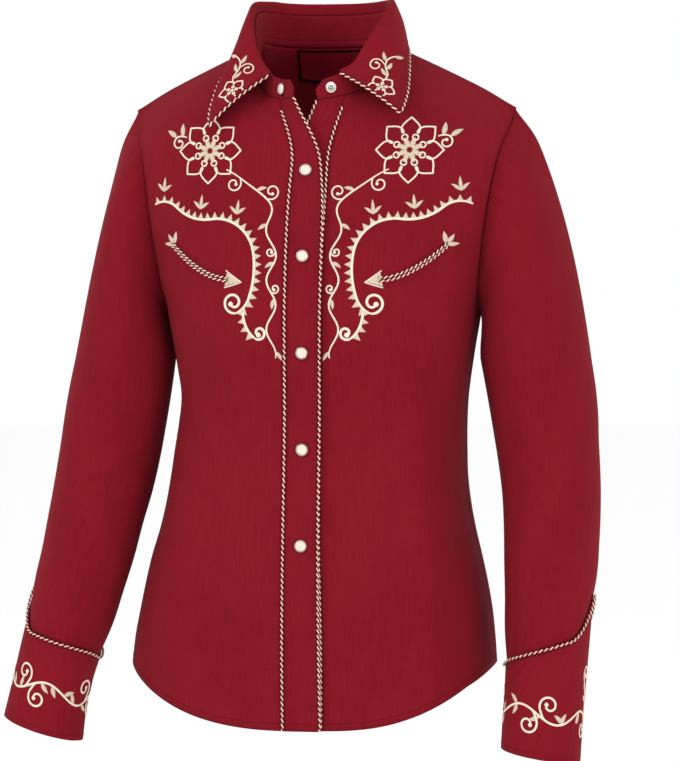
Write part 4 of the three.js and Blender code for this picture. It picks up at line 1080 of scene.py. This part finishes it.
def chest_pattern():
    """One side of the chest, measured outwards from the middle and up, in millimetres."""
    made = flower((95, -101), 31, 11.5, 8)
    made += wound((120, -88), 24, 6.5, -1, 1.1, 16, FINE_LINE)
    made += [leaf_shape((124, -87), 82, 13, 5, 0.4), leaf_shape((131, -88), 34, 13, 5, -0.4)]

    scroll = drafted((152, -151), 152, [(22, 70), (46, -50), (38, 88), (84, 30), (24, 44)])
    foot = drafted(scroll[-5], -84, [(34, -38), (22, -24)])
    made += [stroke(scroll, SCROLL, 0.25), stroke(foot, SCROLL, 0.25)]
    made += points_along(scroll, -1, 0.02, 0.97) + points_along(foot, 1, 0.15, 0.95)
    made += wound(scroll[-1], -12, 10, 1, 1.3, 0.0, SCROLL) + wound(foot[-1], 214, 6.5, -1, 1.1, 0.0, SCROLL)
    for share in (0.06, 0.3, 0.5):
        made += sprig(scroll[int(share * (len(scroll) - 1))] + np.array([0, SPRIG_RISE]), 96, 14)

    down = np.linspace(0, 176, 90)
    vine = np.stack([29 + 4.5 * np.sin(down * math.tau / 46) + 48 * np.exp(-down / 17), -119 - down], axis=1)
    made += [stroke(vine, LINE, 0.3)]
    places = [(0.12, -1, 50), (0.3, 1, 45), (0.5, 1, 35), (0.7, 1, 35), (0.98, -1, 30)]
    made += leaves_along(vine, places, 10.5)
    made += tendrils(vine, [0.05, 0.16], 7, 1.1) + tendrils(vine, [0.44, 0.66], 4.2, 1.0)

    made.append(pointed((73.5, -221.5), (-0.985, -0.17), 15, 15))
    made.append(stroke([(73.5, -213.5), (66, -219), ARROW_TIP], 1.2))
    made.append(stroke([(75, -229.5), (66, -227), ARROW_TIP], 1.2))
    made += [leaf_shape((129, -188.5), angle, 12, 4.4) for angle in (98, 50, 2)]
    return made


# %% Lay strokes on cloth


def laid(name, strokes, place, mirror=1):
    """One mesh of raised strips. place gives the cloth's point and outward normal for (x, y) in mm."""
    parts = []
    spot = lambda p: place(mirror * p[0], p[1])
    for points, widths, thread in strokes:
        walked = travelled(points)
        if walked[-1] < 0.5:
            continue
        at = np.linspace(0, walked[-1], max(int(walked[-1] / STROKE_STEP), 5) + 1)
        path = np.stack([np.interp(at, walked, points[:, k]) for k in (0, 1)], axis=1)
        width = np.interp(at, walked, np.broadcast_to(widths, walked.shape))
        along = np.gradient(path, axis=0)
        across = np.stack([-along[:, 1], along[:, 0]], axis=1)
        across /= np.linalg.norm(across, axis=1)[:, None] + 1e-9
        runs = [[]]
        for p, w, c, s in zip(path, width, across, at):
            (mid, normal), (one, _), (two, _) = spot(p), spot(p + c * w / 2), spot(p - c * w / 2)
            if mid is None or one is None or two is None:
                runs.append([])
                continue
            high = normal * RAISED * min(1, w / 1.5)
            foot = normal * LIFT
            ring = [one + foot, mid * 0.4 + one * 0.6 + high * 0.78, mid + high,
                    mid * 0.4 + two * 0.6 + high * 0.78, two + foot]
            runs[-1].append((ring, s * MM))
        parts += [(*zip(*run), 1 if mirror > 0 else -1, thread) for run in runs if len(run) > 2]
    made = strips(name, parts, (line_thread, fill_thread))
    print(name, "strokes:", len(strokes), "faces:", len(made.data.polygons))


# Each thread's second, darker colour is painted shade in the grooves between its stitches.
line_thread = thread_material("line_thread", linear(243, 230, 212), linear(205, 188, 164), 0.0005)
fill_thread = thread_material("fill_thread", linear(214, 199, 176), linear(168, 150, 124), 0.0006)
for side, sign in SIDES:
    laid(f"embroidery_{side}_chest", chest_pattern(), lambda x, z, s=side: on_front(fronts[s], x, z), sign)

# %% Collar embroidery
DECAL_REACH = 40 * MM


def decal(tree, centre, towards):
    """A place function for a small pattern: up runs from centre to towards, both as (x, z) in mm."""
    middle, normal = on_front(tree, *centre)
    upper, _ = on_front(tree, *towards)
    up = upper - middle
    up -= normal * np.dot(up, normal)
    up /= np.linalg.norm(up)
    side = np.cross(up, normal)

    def place(x, y):
        point = middle + (side * x + up * y) * MM
        hit, out, _, _ = tree.ray_cast(Vector(point + normal * DECAL_REACH), Vector(-normal))
        if hit is None:
            return None, None
        out = np.array(out)
        return np.array(hit), out * (1 if np.dot(out, normal) > 0 else -1)
    return place


def collar_pattern():
    """A small pointed flower near the collar point, with a vine that climbs from it."""
    made = flower((0, 0), 14, 3.4, 5, math.radians(-90))
    vine = knots([(1, 9), (3, 17), (-1, 26), (0, 35), (7, 43)])
    made.append(stroke(vine, 1.6, 0.3))
    made += leaves_along(vine, [(0.2, 1, 50), (0.42, -1, 50), (0.7, 1, 40), (0.98, -1, 10)], 11)
    made += curl([(-1, 27), (-6, 31)], (-10, 25), 1, 1.1, 0.35, 1.5)
    return made


collar_tree = tree_of(["collar_leaf"])
for side, centre, towards in (("right", (-76, -44), (-72, -14)), ("left", (68, -42), (71, -12))):
    mirror = -1 if side == "right" else 1
    laid(f"embroidery_{side}_collar", collar_pattern(), decal(collar_tree, centre, towards), mirror)

# %% Cuff embroidery
CUFF_WAVE = 70
CUFF_START, CUFF_STOP = 14, 26


def cuff_place(net, normal, start):
    """A place function on a cuff: x runs round it from a start column, y up from its lower edge, in mm."""
    rows, cols = net.shape[:2]
    round_way = lengths(net, 1)[rows // 2] / MM
    round_way = round_way - round_way[start]
    heights = lengths(net, 0)[-1] / MM

    def place(x, y):
        if not round_way[0] < x < round_way[-1]:
            return None, None
        col = float(np.interp(x, round_way, np.arange(cols)))
        c = min(int(col), cols - 2)
        tall = heights[c] + (heights[c + 1] - heights[c]) * (col - c)
        row = (1 - y / tall) * (rows - 1)
        if not 0 <= row <= rows - 1:
            return None, None
        r = min(int(row), rows - 2)
        f, g = row - r, col - c
        mixed = lambda grid: (grid[r, c] * (1 - f) * (1 - g) + grid[r + 1, c] * f * (1 - g)
                              + grid[r, c + 1] * (1 - f) * g + grid[r + 1, c + 1] * f * g)
        out = mixed(normal)
        return mixed(net), out / np.linalg.norm(out)
    return place


def cuff_pattern(low, high):
    """A vine that runs round the cuff in waves. Tendrils hang from its crests and rise from its dips."""
    height = lambda at: 41 + 7 * np.sin(np.asarray(at) / CUFF_WAVE * math.tau)
    x = np.linspace(low, high, 200)
    vine = np.stack([x, height(x)], axis=1)
    made = [stroke(vine, 2.3, 0.3)]
    for k in range(-3, 6):
        at = (k + 0.5) * CUFF_WAVE / 2
        if not low + 22 < at < high - 22:
            continue
        up = 1 if k % 2 else -1
        y = float(height(at))
        made += curl([(at + up * 3, y), (at + up * 12, y + up * 4), (at + up * 16.5, y + up * 13)],
                     (at + up * 7.5, y + up * 17), 1, 1.1, 0.3, 2.2)
        made.append(leaf_shape((at - up * 5, float(height(at - up * 5))), 90 * up + 25, 12, 4.4))
    shares = np.arange(0.06, 0.97, 0.1)
    made += leaves_along(vine, [(share, side, 60) for share, side in zip(shares, (1, -1) * 5)], 12)
    for way in (-1, 1):
        made += curl([(way * 1.5, 42), (way * 4, 60), (way * 11, 75)], (way * 6.5, 83), way, 1.1, 0.35, 2.1)
        made.append(leaf_shape((way * 3.5, 57), 90 - way * 60, 11, 4.2))
        made.append(leaf_shape((way * 7, 67), 90 - way * 40, 9, 3.8))
    made.append(leaf_shape((0, 62), 90, 15, 4.4))
    return made


for side, sign in SIDES:
    net = nets[side + "_cuff"]
    outermost = int(np.argmax(sign * net[0, :, 0]))
    walked = lengths(net, 1)[len(net) // 2] / MM
    walked -= walked[outermost]
    pattern = cuff_pattern(walked[0] + CUFF_START, walked[-1] - CUFF_STOP)
    laid(f"embroidery_{side}_cuff", pattern, cuff_place(net, outs[side + "_cuff"], outermost))

# %% [markdown]
# Rows of lockstitch in red thread: along the hem, the bands, the stand, the collar leaf, the cuffs, the
# armholes and the shoulders. Each stitch is a short raised dash, laid on the fine net of its piece.

# %% Topstitching
STITCH, STITCH_GAP, STITCH_WIDE = 2.3 * MM, 0.9 * MM, 0.7 * MM
STITCH_LIFT, STITCH_HIGH = 0.03 * MM, 0.3 * MM
# The darker red is painted shade in the grooves of the thread's twist.
seam_thread = thread_material("seam_thread", linear(126, 20, 33), linear(98, 12, 24), 0.0005, 0.06)


def inset_line(net, normal, edge, inset):
    """Points and normals at an even distance inside one edge of a net."""
    axis = 0 if edge in ("top", "bottom") else 1
    grid, out = (net, normal) if axis == 0 else (net.transpose(1, 0, 2), normal.transpose(1, 0, 2))
    if edge in ("bottom", "last"):
        grid, out = grid[::-1], out[::-1]
    far = lengths(grid, 0)
    points, outs_here = [], []
    for c in range(grid.shape[1]):
        row = min(float(np.interp(inset, far[:, c], np.arange(len(grid)))), len(grid) - 1.001)
        r, f = int(row), row - int(row)
        points.append(grid[r, c] * (1 - f) + grid[r + 1, c] * f)
        outs_here.append(out[r, c] * (1 - f) + out[r + 1, c] * f)
    return np.array(points), np.array(outs_here)


def stitch_row(name, rows):
    """One mesh of dashes along some lines; each line is points and normals."""
    parts = []
    for points, normals in rows:
        walked = travelled(points)
        along = lambda s, of: np.array([np.interp(s, walked, of[:, k]) for k in range(3)])
        for begin in np.arange(STITCH_GAP, walked[-1] - STITCH, STITCH + STITCH_GAP):
            rings, at = [], []
            for share, wide in ((0, 0.45), (0.2, 1), (0.8, 1), (1, 0.45)):
                s = begin + share * STITCH
                p, n = along(s, points), along(s, normals)
                n /= np.linalg.norm(n)
                side = np.cross(along(s + 0.2 * MM, points) - along(s - 0.2 * MM, points), n)
                side *= STITCH_WIDE * wide / 2 / np.linalg.norm(side)
                foot, high = p + n * STITCH_LIFT, n * STITCH_HIGH * wide
                rings.append([foot + side, foot + side * 0.6 + high * 0.8, foot + high,
                              foot - side * 0.6 + high * 0.8, foot - side])
                at.append(share * STITCH)
            parts.append((rings, at, -1, 0))
    strips(name, parts, (seam_thread,))
    print(name, "stitches:", len(parts))


SEWN = {
    # piece: edge and inset in millimetres of each row of stitches
    "back": (("bottom", 6.5), ("top", 2.4)),
    "collar_stand": (("bottom", 2.4), ("top", 3.0)),
    "collar_leaf": (("bottom", 4.5), ("first", 4.0), ("last", 4.0)),
}
for side, _ in SIDES:
    SEWN[side + "_front"] = (("bottom", 6.5), ("top", 2.4), ("last", 2.4))
    SEWN[side + "_band"] = (("first", 2.0), ("last", 2.0), ("bottom", 6.5))
    SEWN[side + "_cuff"] = (("bottom", 5.0), ("top", 3.2))
for name, edges in SEWN.items():
    lines = [inset_line(nets[name], outs[name], edge, inset * MM) for edge, inset in edges]
    stitch_row("stitches_" + name, lines)

# %% [markdown]
# Cloth hardly stretches. Each sheet is listed with how it is held, what it hangs from or lies on, and the
# trims that are sewn to it, and the list is printed.


def trims(*starts):
    """The finished trims whose names begin in one of these ways."""
    return [o for o in bpy.data.objects if o.name.startswith(starts) and o.name not in frame["nodes"]]


HELD = {
    "back": ("hung", [], trims("stitches_back")),
    "collar_stand": ("hung", ["cloth_back"], trims("snap_collar", "stitches_collar_stand")),
    "collar_leaf": ("folded", ["cloth_collar_stand"],
                    trims("cord_collar", "embroidery_right_collar", "embroidery_left_collar",
                          "stitches_collar_leaf")),
}
for side, _ in SIDES:
    front, sleeve = f"cloth_{side}_front", f"cloth_{side}_sleeve"
    snaps = trims("snap_front") if side == "right" else []
    HELD[side + "_front"] = ("hung", ["cloth_back"], trims(f"cord_{side}_pocket", f"embroidery_{side}_chest",
                                                           f"stitches_{side}_front"))
    HELD[side + "_band"] = ("hung", [front], trims(f"cord_{side}_band", f"stitches_{side}_band") + snaps)
    HELD[side + "_sleeve"] = ("hung", ["cloth_back", front], [])
    HELD[side + "_cuff"] = ("hung", [sleeve], trims(f"cord_{side}_cuff", f"snap_{side}_cuff",
                                                    f"embroidery_{side}_cuff", f"stitches_{side}_cuff"))
for name, (held, rests_on, sewn_on) in HELD.items():
    print(name, held, "with", len(sewn_on), "trims")
